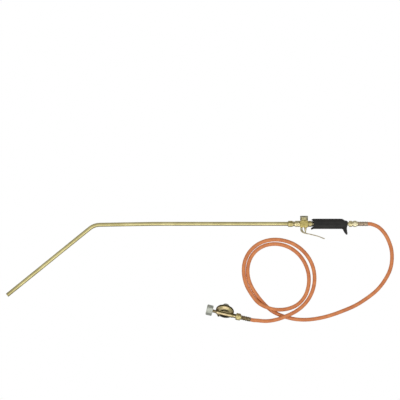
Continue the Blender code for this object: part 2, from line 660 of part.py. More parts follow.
def make_regulator_body(frame):
    line = (0, 0, LINE_DEPTH)
    body = turned("regulator_body", [
        (0, -GAP / 2), (DISC_RADIUS, -GAP / 2), (DISC_RADIUS, -4 * MM), (30 * MM, -5 * MM),
        (24 * MM, -9 * MM), (20 * MM, -10.2 * MM), (0, -10.6 * MM)], frame, steps=32)
    ridge = rod("line_ridge", 8.5 * MM, -29 * MM, 31 * MM, frame, "X", line)
    outlet = turned("outlet_neck", [
        (0, 50 * MM), (6.2 * MM, 50 * MM), (6.2 * MM, 41.2 * MM), (7.3 * MM, 41.2 * MM),
        (7.3 * MM, 30 * MM), (0, 30 * MM)], frame, "X", line)
    combine(body, ridge, "UNION")
    combine(body, outlet, "UNION")
    # The port boss stands out of the ridge at right angles to the gas line.
    boss = rod("port_boss", 5.5 * MM, 0, 12 * MM, frame, "Y", TEST_PORT, 16)
    combine(body, boss, "UNION")
    combine(body, rod("port_bore", 3.3 * MM, 4 * MM, 20 * MM, frame, "Y", TEST_PORT, 12))
    # Hollow under the diaphragm, with the ledge that the diaphragm lies on.
    chamber = turned("lower_chamber", [
        (0, 5 * MM), (26 * MM, 5 * MM), (26 * MM, -1.4 * MM), (21 * MM, -1.4 * MM),
        (17 * MM, -5 * MM), (0, -5 * MM)], frame, steps=24)
    combine(body, chamber)
    combine(body, rod("seat_bore", 1.6 * MM, -10 * MM, -3 * MM, frame, "Z",
                      (-10 * MM, 0, 0), 10))
    combine(body, rod("outlet_drop", 2.4 * MM, -10 * MM, -3 * MM, frame, "Z",
                      (13 * MM, 0, 0), 10))
    combine(body, turned("inlet_bore", [
        (0, -8 * MM), (2.5 * MM, -8 * MM), (2.5 * MM, -21.5 * MM), (5.8 * MM, -21.5 * MM),
        (5.8 * MM, -40 * MM), (0, -40 * MM)], frame, "X", line, steps=16))
    combine(body, rod("outlet_bore", 3.5 * MM, 8 * MM, 60 * MM, frame, "X", line, 16))
    weld(body)
    slot_middle = ((-8 + 11) / 2 * MM, -16.5 * MM)
    combine(body, plate("face_slot", slot_outline(slot_middle, 19 * MM, 5.5 * MM),
                        -20 * MM, -7.8 * MM, frame))
    for x, y in bonnet_screw_places():
        combine(body, rod("thread_hole", 2.3 * MM, -3.4 * MM, 5 * MM, frame, "Z",
                          (x, y, 0), 10))
    finish(body, brass("regulator_body_brass", (0.48, 0.36, 0.18), 0.4))


def slot_outline(middle, length, width):
    """A flat slot with round ends, its length along X."""
    half = (length - width) / 2
    right = arc((middle[0] + half, middle[1]), width / 2, -90, 90, 7)
    left = arc((middle[0] - half, middle[1]), width / 2, 90, 270, 7)
    return right + left


def bonnet_screw_places():
    """The four screws' middles, away from the gas line's two ends."""
    radius = DISC_RADIUS - 3.7 * MM
    return [(radius * math.cos(math.radians(a)), radius * math.sin(math.radians(a)))
            for a in (45, 135, 225, 315)]


def make_bonnet(frame):
    bonnet = turned("regulator_bonnet", [
        (DISC_RADIUS, GAP / 2), (22 * MM, GAP / 2), (17 * MM, 6 * MM), (7.9 * MM, 6.5 * MM),
        (7.9 * MM, 15.2 * MM), (3.3 * MM, 15.2 * MM), (3.3 * MM, 17 * MM), (9.6 * MM, 17 * MM),
        (9.6 * MM, 10.5 * MM), (19 * MM, 9 * MM), (24.5 * MM, 3.5 * MM),
        (DISC_RADIUS, 3.5 * MM)][::-1], frame, closed=True, steps=32)
    for x, y in bonnet_screw_places():
        combine(bonnet, rod("screw_hole", 2.3 * MM, -5 * MM, 5 * MM, frame, "Z",
                            (x, y, 0), 10))
    finish(bonnet, brass("bonnet_zinc", (0.48, 0.38, 0.22), 0.4))
    for number, (x, y) in enumerate(bonnet_screw_places(), 1):
        screw = turned(f"bonnet_screw_{number}", [
            (0, 5.4 * MM), (2.4 * MM, 5.4 * MM), (3.1 * MM, 4.8 * MM), (3.1 * MM, 3.8 * MM),
            (2 * MM, 3.8 * MM), (2 * MM, -3 * MM), (0, -3 * MM)], frame, "Z", (x, y, 0),
            steps=12)
        finish(screw, look(f"bonnet_screw_steel_{number}", ZINC, 0.35, 1.0))


def make_regulator_inside(frame):
    diaphragm = rod("diaphragm", 25.4 * MM, -1.05 * MM, -0.15 * MM, frame, steps=24)
    finish(diaphragm, look("diaphragm_rubber", RUBBER, 0.7))
    plate_disc = turned("diaphragm_plate", [
        (0, 1.6 * MM), (13 * MM, 1.6 * MM), (14 * MM, 0.2 * MM), (0, 0.2 * MM)], frame)
    finish(plate_disc, look("plate_zinc", ZINC, 0.4, 1.0))
    poppet = turned("regulator_poppet", [
        (0, -1.4 * MM), (3.5 * MM, -1.4 * MM), (3.5 * MM, -2.6 * MM), (1.2 * MM, -2.6 * MM),
        (1.2 * MM, -11 * MM), (0, -11 * MM)], frame, "Z", (-10 * MM, 0, 0), steps=12)
    finish(poppet, brass("poppet_brass"))
    spring = coil_spring("regulator_spring", 5.8 * MM, 0.8 * MM, 1.9 * MM, 11.7 * MM, 4,
                         frame, "Z")
    finish(spring, look("regulator_spring_steel", ZINC, 0.3, 1.0), sharp=60)
    seat = rod("spring_seat", 7.3 * MM, 12 * MM, 13.6 * MM, frame)
    finish(seat, look("spring_seat_zinc", ZINC, 0.4, 1.0))


def make_regulator_knob(frame):
    knob = turned("regulator_knob", [
        (0, 27.3 * MM), (10 * MM, 27.3 * MM), (12 * MM, 25.6 * MM), (12 * MM, 13.5 * MM),
        (10 * MM, 13.5 * MM), (10 * MM, 17.8 * MM), (3 * MM, 17.8 * MM), (3 * MM, 13.9 * MM),
        (0, 13.9 * MM)], frame, steps=20)
    finish(knob, look("knob_grey", (0.16, 0.16, 0.13), 0.4))


def make_cylinder_connection(frame):
    line = (0, 0, LINE_DEPTH)
    nipple = turned("inlet_nipple", [
        (5.5 * MM, -22 * MM), (5.5 * MM, -46 * MM), (9.8 * MM, -46 * MM),
        (9.8 * MM, -49.5 * MM), (2.5 * MM, -49.5 * MM), (2.5 * MM, -22 * MM)],
        frame, "X", line, closed=True)
    finish(nipple, brass("nipple_brass", DARK_BRASS))
    seal = sleeve("inlet_seal", 9.2 * MM, 3.5 * MM, -52 * MM, -49.8 * MM, frame, "X", line)
    finish(seal, look("inlet_seal_rubber", RUBBER, 0.6))
    nut = hex_nut("cylinder_nut", 32 * MM, -64 * MM, -42 * MM, [
        (0, -40 * MM), (5.85 * MM, -40 * MM), (5.85 * MM, -45.6 * MM), (10.9 * MM, -45.6 * MM),
        (10.9 * MM, -70 * MM), (0, -70 * MM)], frame, "X", line, roll=12, steps=36)
    finish(nut, look("nut_zinc", ZINC, 0.3, 1.0))
    outlet = hex_nut("outlet_nut", 21.5 * MM, 41.5 * MM, 61.1 * MM, [
        (0, 54 * MM), (6.6 * MM, 54 * MM), (6.6 * MM, 30 * MM), (0, 30 * MM)],
        frame, "X", line, roll=20)
    combine(outlet, rod("outlet_nut_bore", NIPPLE_RADIUS + GAP, 40 * MM, 70 * MM, frame, "X",
                        line))
    finish(outlet, brass("outlet_nut_brass"))
    plug = turned("test_plug", [
        (0, 15.6 * MM), (3.6 * MM, 15.6 * MM), (4.4 * MM, 14.8 * MM), (4.4 * MM, 12.3 * MM),
        (3 * MM, 12.3 * MM), (3 * MM, 6 * MM), (0, 6 * MM)], frame, "Y",
        TEST_PORT, steps=12)
    finish(plug, look("plug_zinc", ZINC, 0.4, 1.0))


# ---------------------------------------------------------------- hose

def make_hose(torch, regulator):
    """The hose, on one smooth curve from ferrule to ferrule."""
    bpy.context.view_layer.update()
    torch_place = torch.matrix_world
    regulator_place = regulator.matrix_world
    start = torch_place @ Vector((TORCH_FERRULE[1] + GAP, 0, 0))
    end = regulator_place @ Vector((REGULATOR_FERRULE[1] + GAP, 0, LINE_DEPTH))
    along_torch = torch_place.to_3x3().col[0]
    along_line = regulator_place.to_3x3().col[0]
    # A short straight lead at each end keeps the hose square to its ferrule.
    route = [tuple(start + HOSE_LEAD * along_torch)]
    route += [(x * MM, y * MM, z * MM) for x, y, z in HOSE_ROUTE]
    route.append(tuple(end + HOSE_LEAD * along_line))
    points = [tuple(p) for p in smooth_path(route, along_torch, -along_line, HOSE_POINTS)]
    hose = path_curve("gas_hose", [tuple(start)] + points + [tuple(end)])
    hose.data.bevel_depth = HOSE_RADIUS
    hose.data.bevel_resolution = 2
    hose.data.use_fill_caps = True
    hose.data.materials.append(look("hose_rubber", ORANGE, 0.5))
    hose.data.splines[0].use_smooth = True


def regulator_place():
    """The regulator's frame: X along the line, Z towards the knob, which points down."""
    along = np.array([math.cos(LINE_TURN), math.sin(LINE_TURN), 0])
    across = np.array([-math.sin(LINE_TURN), math.cos(LINE_TURN), 0])
    knob = math.sin(KNOB_LEAN) * across - math.cos(KNOB_LEAN) * np.array([0, 0, 1])
    side = np.cross(knob, along)
    place = Matrix.Identity(4)
    for column, way in enumerate((along, side, knob)):
        for row in range(3):
            place[row][column] = way[row]
    return Matrix.Translation(REGULATOR_AT) @ place


def main():
    torch = new_frame("torch", Matrix.Translation(TORCH_AT)
                      @ Matrix.Rotation(-TORCH_TILT, 4, "Y"))
    regulator = new_frame("regulator", regulator_place())
    make_lance(torch)
    make_valve_body(torch)
    make_pilot(torch)
    make_lever(torch)
    make_plunger(torch)
    make_handle(torch)
    make_gas_line(torch)
    make_ferrule("hose_ferrule_torch", "hose_nipple_torch", *TORCH_FERRULE,
                 (172.3 * MM, 175.5 * MM, 6.8 * MM), torch, (0, 0, 0))
    make_ferrule("hose_ferrule_regulator", "hose_nipple_regulator", *REGULATOR_FERRULE,
                 (50.4 * MM, 53.6 * MM, 6.2 * MM), regulator, (0, 0, LINE_DEPTH))
    make_regulator_body(regulator)
    make_bonnet(regulator)
    make_regulator_inside(regulator)
    make_regulator_knob(regulator)
    make_cylinder_connection(regulator)
    make_hose(torch, regulator)
    bpy.context.view_layer.update()


main()
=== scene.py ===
"""Looks of the propane torch: its hose, fittings, handle and regulator, with their finishes."""
import math

import bmesh
import bpy
import numpy as np
from mathutils import Matrix, Vector


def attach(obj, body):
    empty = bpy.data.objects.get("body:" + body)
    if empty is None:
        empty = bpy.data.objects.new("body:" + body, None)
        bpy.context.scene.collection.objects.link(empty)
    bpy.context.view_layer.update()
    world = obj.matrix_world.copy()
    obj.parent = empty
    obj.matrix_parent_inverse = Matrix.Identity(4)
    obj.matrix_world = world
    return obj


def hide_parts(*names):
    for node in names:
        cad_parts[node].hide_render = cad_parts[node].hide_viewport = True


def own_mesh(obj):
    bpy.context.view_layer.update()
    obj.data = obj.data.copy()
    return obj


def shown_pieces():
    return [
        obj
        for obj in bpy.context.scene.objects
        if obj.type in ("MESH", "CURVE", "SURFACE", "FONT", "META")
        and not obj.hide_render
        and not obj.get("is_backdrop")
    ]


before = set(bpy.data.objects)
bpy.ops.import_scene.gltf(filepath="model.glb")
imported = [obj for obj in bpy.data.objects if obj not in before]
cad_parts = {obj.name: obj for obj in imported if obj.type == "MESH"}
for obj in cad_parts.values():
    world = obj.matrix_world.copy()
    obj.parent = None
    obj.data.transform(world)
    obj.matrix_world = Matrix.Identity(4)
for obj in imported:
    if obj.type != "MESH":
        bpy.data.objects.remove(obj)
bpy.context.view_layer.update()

MM = 0.001

# Frames and paths are in metres. Every other size here is in millimetres, and the shaping
# helpers turn it to metres.

# The torch's own frame has its origin in the middle of the valve block, on the tube's line.
TORCH = (Matrix.Translation((427.25 * MM, 113.45 * MM, 14.3 * MM))
         @ Matrix.Rotation(math.radians(-0.395), 4, "Y"))

# The regulator's frame has X along the gas line and Z towards its knob, which points down.
LINE_TURN = math.radians(-13)
KNOB_LEAN = math.radians(50)
REGULATOR_AT = (150.2 * MM, -191.8 * MM, 26.95 * MM)
LINE_DEPTH = -11


def regulator_frame():
    along = Vector((math.cos(LINE_TURN), math.sin(LINE_TURN), 0))
    across = Vector((-math.sin(LINE_TURN), math.cos(LINE_TURN), 0))
    knob = math.sin(KNOB_LEAN) * across - math.cos(KNOB_LEAN) * Vector((0, 0, 1))
    side = knob.cross(along)
    turn = Matrix((along, side, knob)).transposed().to_4x4()
    return Matrix.Translation(REGULATOR_AT) @ turn


REGULATOR = regulator_frame()
GAS_LINE = (0, 0, LINE_DEPTH)

# Sizes that several pieces share. GAP parts the pieces, and FAR is past any of them.
GAP = 0.3
FAR = 60
TUBE_RADIUS = 7
TUBE_WALL = 1.2
HOSE_RADIUS = 6.65
FERRULE_RADIUS = 7.8
DISC_RADIUS = 32
PIVOT = (-9.2, -17)
PLUNGER_X = 4.8
GRIP_HALF_HEIGHT = 18.1
GRIP_HALF_THICKNESS = 14.5
GRIP_POWER = 2.6
PORT = (-18, 0, -14.5)
SLOT_MIDDLE = (1.5, -16.5)
SLOT_LENGTH = 19
SLOT_RADIUS = 2.75
HANDLE_SCREWS = {
    "handle_screw_front": (39, 10.5),
    "handle_screw_middle": (90, -11.5),
    "handle_screw_rear": (143, -13),
}


# ---------------------------------------- camera and room

def set_camera():
    """A long lens straight above, with 1.4 m of the floor across its view."""
    lens = bpy.data.cameras.new("long_lens")
    lens.lens = 600
    lens.sensor_width = 36
    lens.clip_end = 80
    camera = bpy.data.objects.new("camera", lens)
    camera.location = (63.25 * MM, 196.9 * MM, 1.4 * lens.lens / lens.sensor_width)
    bpy.context.scene.collection.objects.link(camera)
    bpy.context.scene.camera = camera


set_camera()


# ---------------------------------------- shaping helpers

AXES = {
    "X": Matrix.Rotation(math.radians(90), 4, "Y"),
    "Y": Matrix.Rotation(math.radians(-90), 4, "X"),
    "Z": Matrix.Identity(4),
}


def piece_from(name, shape, place, axis="Z", at=(0, 0, 0)):
    """Make a bmesh into an object in a frame, its own Z laid along the frame's axis."""
    moved = Matrix.Translation([part * MM for part in at])
    bmesh.ops.transform(shape, matrix=moved @ AXES[axis], verts=shape.verts)
    bmesh.ops.recalc_face_normals(shape, faces=shape.faces)
    mesh = bpy.data.meshes.new(name)
    shape.to_mesh(mesh)
    shape.free()
    made = bpy.data.objects.new(name, mesh)
    made.matrix_world = place
    bpy.context.scene.collection.objects.link(made)
    return made


def turned(name, profile, place, axis="Z", at=(0, 0, 0), closed=False, steps=64):
    """Turn a profile of (radius, height) points, as on a lathe."""
    shape = bmesh.new()
    corners = [shape.verts.new((radius * MM, 0, height * MM)) for radius, height in profile]
    loop = list(zip(corners, corners[1:])) + ([(corners[-1], corners[0])] if closed else [])
    edges = [shape.edges.new(pair) for pair in loop]
    bmesh.ops.spin(shape, geom=corners + edges, cent=(0, 0, 0), axis=(0, 0, 1),
                   angle=2 * math.pi, steps=steps)
    bmesh.ops.remove_doubles(shape, verts=shape.verts, dist=0.002 * MM)
    return piece_from(name, shape, place, axis, at)


def rod(name, radius, low, high, place, axis="Z", at=(0, 0, 0), steps=64):
    return turned(name, [(0, high), (radius, high), (radius, low), (0, low)], place, axis, at,
                  steps=steps)


def plate(name, outline, low, high, place, axis="Z", at=(0, 0, 0)):
    """Extrude a flat outline of (x, y) points from low to high."""
    shape = bmesh.new()
    face = shape.faces.new([shape.verts.new((x * MM, y * MM, low * MM)) for x, y in outline])
    grown = bmesh.ops.extrude_face_region(shape, geom=[face])["geom"]
    raised = [part for part in grown if isinstance(part, bmesh.types.BMVert)]
    bmesh.ops.translate(shape, vec=(0, 0, (high - low) * MM), verts=raised)
    return piece_from(name, shape, place, axis, at)


def block(name, low, high, place):
    """A box between two corners."""
    outline = [(low[0], low[1]), (high[0], low[1]), (high[0], high[1]), (low[0], high[1])]
    return plate(name, outline, low[2], high[2], place)


def settle(made):
    """Apply the piece's modifiers."""
    bpy.context.view_layer.update()
    seen = made.evaluated_get(bpy.context.evaluated_depsgraph_get())
    done = bpy.data.meshes.new_from_object(seen)
    made.modifiers.clear()
    made.data = done
    # Where a cut left a hair crack, its points become one.
    shape = bmesh.new()
    shape.from_mesh(done)
    if any(len(edge.link_faces) != 2 for edge in shape.edges):
        bmesh.ops.remove_doubles(shape, verts=shape.verts, dist=0.0005 * MM)
        shape.to_mesh(done)
    shape.free()
    return made


def combine(made, other, operation="DIFFERENCE"):
    """Cut one piece with another, or join them, and clear the other away."""
    boolean = made.modifiers.new(operation, "BOOLEAN")
    boolean.operation = operation
    boolean.solver = "EXACT"
    boolean.object = other
    settle(made)
    bpy.data.objects.remove(other, do_unlink=True)
    return made


def eased(made, edge, sharp=35):
    """Break the sharp edges, as a file or a mould would, and shade the rest smooth."""
    if edge:
        bevel = made.modifiers.new("broken_edges", "BEVEL")
        bevel.width = edge * MM
        bevel.segments = 2
        bevel.limit_method = "ANGLE"
        bevel.angle_limit = math.radians(28)
        settle(made)
    made.data.shade_smooth()
    made.data.set_sharp_from_angle(angle=math.radians(sharp))
    return made


def cast_skin(made, voxel, passes):
    """Blend a form's corners into the soft fillets of a moulding or a casting."""
    remesh = made.modifiers.new("skin", "REMESH")
    remesh.mode = "VOXEL"
    remesh.voxel_size = voxel * MM * 1
    smooth = made.modifiers.new("fillets", "SMOOTH")
    smooth.factor = 0.5
    smooth.iterations = passes
    settle(made)
    made.data.shade_smooth()
    return made


def hexagon(name, flats, low, high, place, axis="X", at=(0, 0, 0), roll=15.0):
    """A hexagon bar cut off with the usual round chamfers."""
    shape = bmesh.new()
    across = flats * MM / 2 / math.cos(math.pi / 6)
    bmesh.ops.create_cone(shape, cap_ends=True, segments=6, depth=(high - low) * MM,
                          radius1=across, radius2=across)
    bmesh.ops.transform(shape, verts=shape.verts, matrix=Matrix.Translation(
        (0, 0, (low + high) / 2 * MM)) @ Matrix.Rotation(math.radians(roll), 4, "Z"))
    made = piece_from(name, shape, place, axis, at)
    corner = flats * 0.62
    chamfer = flats * 0.085
    lip = 0.5
    tip = flats / 2 - lip * (corner - flats / 2) / chamfer
    barrel = turned(name + "_barrel", [
        (0, high + lip), (tip, high + lip), (corner, high - chamfer), (corner, low + chamfer),
        (tip, low - lip), (0, low - lip)], place, axis, at, steps=96)
    return combine(made, barrel, "INTERSECT")


def collared_nut(name, flats, ends, collar, hollow, place, at=(0, 0, 0), roll=15.0):
    """A hexagon nut on the gas line, with a turned collar and a hollow right through."""
    nut = hexagon(name, flats, *ends, place, "X", at, roll)
    combine(nut, turned(name + "_collar", collar, place, "X", at), "UNION")
    return combine(nut, turned(name + "_hollow", hollow, place, "X", at))


def arc(centre, radius, start, end, count):
    """Points along an arc, its angles in degrees."""
    angles = np.radians(np.linspace(start, end, count))
    return [(centre[0] + radius * math.cos(a), centre[1] + radius * math.sin(a))
            for a in angles]


def threads(radius, low, high, pitch, depth):
    """The profile of a screw thread, drawn as rings, from high down to low."""
    points = []
    height = high
    while height - pitch > low:
        points += [(radius, height), (radius, height - 0.25 * pitch),
                   (radius - depth, height - 0.5 * pitch),
                   (radius - depth, height - 0.75 * pitch)]
        height -= pitch
    return points + [(radius, height), (radius, low)]


def smooth_path(points, start_way, end_way, spacing):
    """Evenly spaced points on one smooth curve through the given points."""
    knots = np.array(points, dtype=float)
    steps = np.linalg.norm(np.diff(knots, axis=0), axis=1)
    last = len(knots) - 1
    system = np.eye(last + 1)
    wanted = np.zeros_like(knots)
    wanted[0] = np.array(start_way) / np.linalg.norm(start_way)
    wanted[last] = np.array(end_way) / np.linalg.norm(end_way)
    for i in range(1, last):
        before, after = steps[i - 1], steps[i]
        system[i, i - 1:i + 2] = (after, 2 * (before + after), before)
        wanted[i] = 3 * (after * (knots[i] - knots[i - 1]) / before
                         + before * (knots[i + 1] - knots[i]) / after)
    ways = np.linalg.solve(system, wanted)
    fine = []
    for i in range(last):
        for s in np.linspace(0, 1, 30, endpoint=False):
            fine.append((2 * s**3 - 3 * s**2 + 1) * knots[i]
                        + (s**3 - 2 * s**2 + s) * steps[i] * ways[i]
                        + (3 * s**2 - 2 * s**3) * knots[i + 1]
                        + (s**3 - s**2) * steps[i] * ways[i + 1])
    fine.append(knots[last])
    fine = np.array(fine)
    run = np.concatenate([[0], np.cumsum(np.linalg.norm(np.diff(fine, axis=0), axis=1))])
    places = np.linspace(0, run[-1], max(2, round(run[-1] / spacing)))
    return np.column_stack([np.interp(places, run, fine[:, k]) for k in range(3)])


def swept(name, line, radius, sides, place):
    """A round bar along a line in metres, with a UV map in metres: along it, then round it."""
    radius *= MM
    line = [Vector(point) for point in line]
    ways = []
    for before, after in zip([line[0]] + line[:-1], line[1:] + [line[-1]]):
        ways.append((after - before).normalized())
    up = ways[0].orthogonal().normalized()
    shape = bmesh.new()
    uv = shape.loops.layers.uv.new("along_and_round")
    rings, runs, run = [], [], 0.0
    for i, (point, way) in enumerate(zip(line, ways)):
        if i:
            up = (ways[i - 1].rotation_difference(way) @ up)
            up = (up - up.dot(way) * way).normalized()
            run += (point - line[i - 1]).length
        side = way.cross(up)
        turns = [2 * math.pi * k / sides for k in range(sides)]
        rings.append([shape.verts.new(point + radius * (math.cos(a) * up + math.sin(a) * side))
                      for a in turns])
        runs.append(run)
    girth = 2 * math.pi * radius / sides
    for i in range(len(rings) - 1):
        for k in range(sides):
            nearer, next_one = rings[i], rings[i + 1]
            face = shape.faces.new((nearer[k], nearer[(k + 1) % sides],
                                    next_one[(k + 1) % sides], next_one[k]))
            spots = [(runs[i], k), (runs[i], k + 1), (runs[i + 1], k + 1), (runs[i + 1], k)]
            for corner, (along, step) in zip(face.loops, spots):
                corner[uv].uv = (along, step * girth)
    shape.faces.new(rings[0][::-1])
    shape.faces.new(rings[-1])
    return piece_from(name, shape, place)


# ---------------------------------------- finish helpers

def colour(code):
    """An sRGB hex value as linear red, green, blue and alpha."""
    parts = [int(code[i:i + 2], 16) / 255 for i in (1, 3, 5)]
    return [p / 12.92 if p <= 0.04045 else ((p + 0.055) / 1.055) ** 2.4 for p in parts] + [1]


def node(tree, kind, inputs=None, stops=None, **settings):
    """Add a shader node, set it up, and fill or link its inputs. Stops are a ramp's colours."""
    made = tree.nodes.new("ShaderNode" + kind)
    for name, value in settings.items():
        setattr(made, name, value)
    for name, value in (inputs or {}).items():
        if isinstance(value, bpy.types.NodeSocket):
            tree.links.new(value, made.inputs[name])
        else:
            made.inputs[name].default_value = value
    if stops:
        ramp = made.color_ramp.elements
        while len(ramp) < len(stops):
            ramp.new(0.5)
        for element, (position, shade) in zip(ramp, stops):
            element.position = position
            element.color = shade
    return made


def grey(value):
    return [value, value, value, 1]


def grain(mm):
    """The scale of a pattern whose grains are that many millimetres."""
    return 1 / (mm * MM)


def new_finish(name, metallic, roughness, **more):
    """A finish's tree and its shader, with what is the same all over it."""
    made = bpy.data.materials.new(name)
    made.use_nodes = True
    shader = made.node_tree.nodes["Principled BSDF"]
    shader.inputs["Metallic"].default_value = metallic
    shader.inputs["Roughness"].default_value = roughness
    for socket, value in more.items():
        shader.inputs[socket.replace("_", " ")].default_value = value
    return made, made.node_tree, shader


def laid_on(tree, shader, shade, rough, relief, marks=None):
    """Give the shader its colour, a roughness that follows a pattern, and its relief.

    rough is the pattern and the roughness at its low and its high end. relief is the height,
    its strength, and its depth in millimetres. marks are greys that darken the colour.
    """
    if marks:
        shade = node(tree, "Mix", {"Factor": 1.0, "A": shade, "B": marks}, data_type="RGBA",
                     blend_type="MULTIPLY").outputs["Result"]
    pattern, low_end, high_end = rough
    height, strength, depth = relief
    spread = node(tree, "MapRange", {"Value": pattern, "From Min": 0.3, "From Max": 0.7,
                                     "To Min": low_end, "To Max": high_end})
    bump = node(tree, "Bump", {"Height": height, "Strength": strength,
                               "Distance": depth * MM})
    for socket, value in (("Base Color", shade), ("Roughness", spread.outputs["Result"]),
                          ("Normal", bump.outputs["Normal"])):
        tree.links.new(value, shader.inputs[socket])


# ---------------------------------------- finishes

def drawn_brass():
    """Drawn brass tube: fine lines along it from the die, handled dull, tanned at the mouth."""
    made, tree, shader = new_finish("drawn_brass", 1.0, 0.3)
    place = node(tree, "TexCoord")
    # The lines are about 0.5 mm apart round the tube and 60 mm long.
    stretched = node(tree, "Mapping", {"Vector": place.outputs["UV"],
                                       "Scale": (grain(60), grain(0.5), 1)})
    lines = node(tree, "TexNoise", {"Vector": stretched.outputs["Vector"], "Scale": 1,
                                    "Detail": 3, "Roughness": 0.6})
    dulled = node(tree, "TexNoise", {"Vector": place.outputs["Object"], "Scale": grain(45),
                                     "Detail": 4, "Roughness": 0.6})
    shade = node(tree, "ValToRGB", {"Fac": dulled.outputs["Fac"]},
                 stops=[(0.35, colour("#b3a874")), (0.65, colour("#cbc18c"))])
    lined = node(tree, "ValToRGB", {"Fac": lines.outputs["Fac"]},
                 stops=[(0.3, grey(0.91)), (0.7, grey(1.0))])
    drawn = node(tree, "Mix", {"Factor": 1.0, "A": shade.outputs["Color"],
                               "B": lined.outputs["Color"]}, data_type="RGBA",
                 blend_type="MULTIPLY")
    # Heat tans the last 70 mm before the mouth.
    run = node(tree, "SeparateXYZ", {"Vector": place.outputs["UV"]})
    near = node(tree, "MapRange", {"Value": run.outputs["X"], "From Min": 0.0,
                                   "From Max": 70 * MM, "To Min": 0.55, "To Max": 0.0})
    tanned = node(tree, "Mix", {"Factor": near.outputs["Result"], "A": drawn.outputs["Result"],
                                "B": colour("#7d7148")}, data_type="RGBA")
    laid_on(tree, shader, tanned.outputs["Result"], (dulled.outputs["Fac"], 0.24, 0.38),
            (lines.outputs["Fac"], 0.12, 0.05))
    return made


def machined(name, light, dark, roughness, mark=1.0, cut=0.84):
    """Metal off the lathe or the mill: fine cutter marks, with handling dulling it in spots."""
    made, tree, shader = new_finish(name, 1.0, roughness)
    place = node(tree, "TexCoord")
    # Cutter marks are nearer 0.1 mm; at this size they only show when drawn coarser.
    marks = node(tree, "TexWave", {"Vector": place.outputs["Object"],
                                   "Scale": 0.314 * grain(mark), "Distortion": 0.6,
                                   "Detail": 2, "Detail Scale": 2}, bands_direction="X")
    spots = node(tree, "TexNoise", {"Vector": place.outputs["Object"], "Scale": grain(5),
                                    "Detail": 5, "Roughness": 0.65})
    shade = node(tree, "ValToRGB", {"Fac": spots.outputs["Fac"]},
                 stops=[(0.34, colour(dark)), (0.58, colour(light))])
    lines = node(tree, "ValToRGB", {"Fac": marks.outputs["Fac"]},
                 stops=[(0.0, grey(cut)), (1.0, grey(1.0))])
    laid_on(tree, shader, shade.outputs["Color"],
            (spots.outputs["Fac"], roughness + 0.1, roughness - 0.05),
            (marks.outputs["Fac"], 0.2, 0.04), lines.outputs["Color"])
    return made


# Which way the rim faces on the side that is painted near black as shade
SHADED_RIM_WAY = (-0.215, -0.93, 0.3)


def cast(name, first, second, dark, roughness, patch):
    """A passivated die casting: grainy and two-toned, with painted shade: the rim's sides are
    painted in the dark colour, the two faces keep the lighter tones, and one side is near
    black."""
    made, tree, shader = new_finish(name, 1.0, roughness)
    place = node(tree, "TexCoord")
    broad = node(tree, "TexNoise", {"Vector": place.outputs["Object"], "Scale": grain(patch),
                                    "Detail": 3, "Roughness": 0.55})
    tones = node(tree, "ValToRGB", {"Fac": broad.outputs["Fac"]},
                 stops=[(0.4, colour(first)), (0.6, colour(second))])
    # The casting's sand grain is about 0.9 mm.
    sand = node(tree, "TexNoise", {"Vector": place.outputs["Object"], "Scale": grain(0.9),
                                   "Detail": 4, "Roughness": 0.7})
    # Painted shade: where the surface faces across the knob's axis, round the rim's sides, the
    # colour turns dark; the sand grain breaks up the line.
    facing = node(tree, "VectorMath", {0: place.outputs["Normal"],
                                       1: tuple(REGULATOR.to_3x3().col[2])},
                  operation="DOT_PRODUCT")
    flat = node(tree, "Math", {0: facing.outputs["Value"]}, operation="ABSOLUTE")
    lit_face_mask = node(tree, "Math", {0: sand.outputs["Fac"], 1: 0.35, 2: flat.outputs["Value"]},
                operation="MULTIPLY_ADD")
    side = node(tree, "ValToRGB", {"Fac": lit_face_mask.outputs["Value"]},
                stops=[(0.6, grey(1.0)), (0.92, grey(0.0))])
    # Painted shade: the rim's side that faces that way is painted near black.
    edge = node(tree, "VectorMath", {0: place.outputs["Normal"], 1: SHADED_RIM_WAY},
                operation="DOT_PRODUCT")
    black = node(tree, "ValToRGB", {"Fac": edge.outputs["Value"]},
                 stops=[(0.82, grey(0.0)), (0.9, grey(1.0))])
    sides = node(tree, "Mix", {"Factor": side.outputs["Color"], "A": tones.outputs["Color"],
                               "B": colour(dark)}, data_type="RGBA")
    mixed = node(tree, "Mix", {"Factor": black.outputs["Color"], "A": sides.outputs["Result"],
                               "B": colour("#2d2810")}, data_type="RGBA")
    laid_on(tree, shader, mixed.outputs["Result"],
            (sand.outputs["Fac"], roughness + 0.15, roughness - 0.05),
            (sand.outputs["Fac"], 0.5, 0.15))
    return made


def zinc_plate(name="zinc_plate", light="#c9ccc0", dark="#9b9f93", roughness=0.3):
    """Zinc-plated steel: pale grey, with the faint flowers and the haze of the plating."""
    made, tree, shader = new_finish(name, 1.0, roughness)
    place = node(tree, "TexCoord")
    flowers = node(tree, "TexVoronoi", {"Vector": place.outputs["Object"],
                                        "Scale": grain(1.6)}, feature="F1")
    haze = node(tree, "TexNoise", {"Vector": place.outputs["Object"], "Scale": grain(8),
                                   "Detail": 5, "Roughness": 0.6})
    tones = node(tree, "ValToRGB", {"Fac": haze.outputs["Fac"]},
                 stops=[(0.32, colour(dark)), (0.62, colour(light))])
    flecks = node(tree, "ValToRGB", {"Fac": flowers.outputs["Distance"]},
                  stops=[(0.0, grey(1.0)), (0.8, grey(0.86))])
    laid_on(tree, shader, tones.outputs["Color"],
            (haze.outputs["Fac"], roughness + 0.12, roughness - 0.04),
            (flowers.outputs["Distance"], 0.12, 0.03), flecks.outputs["Color"])
    return made


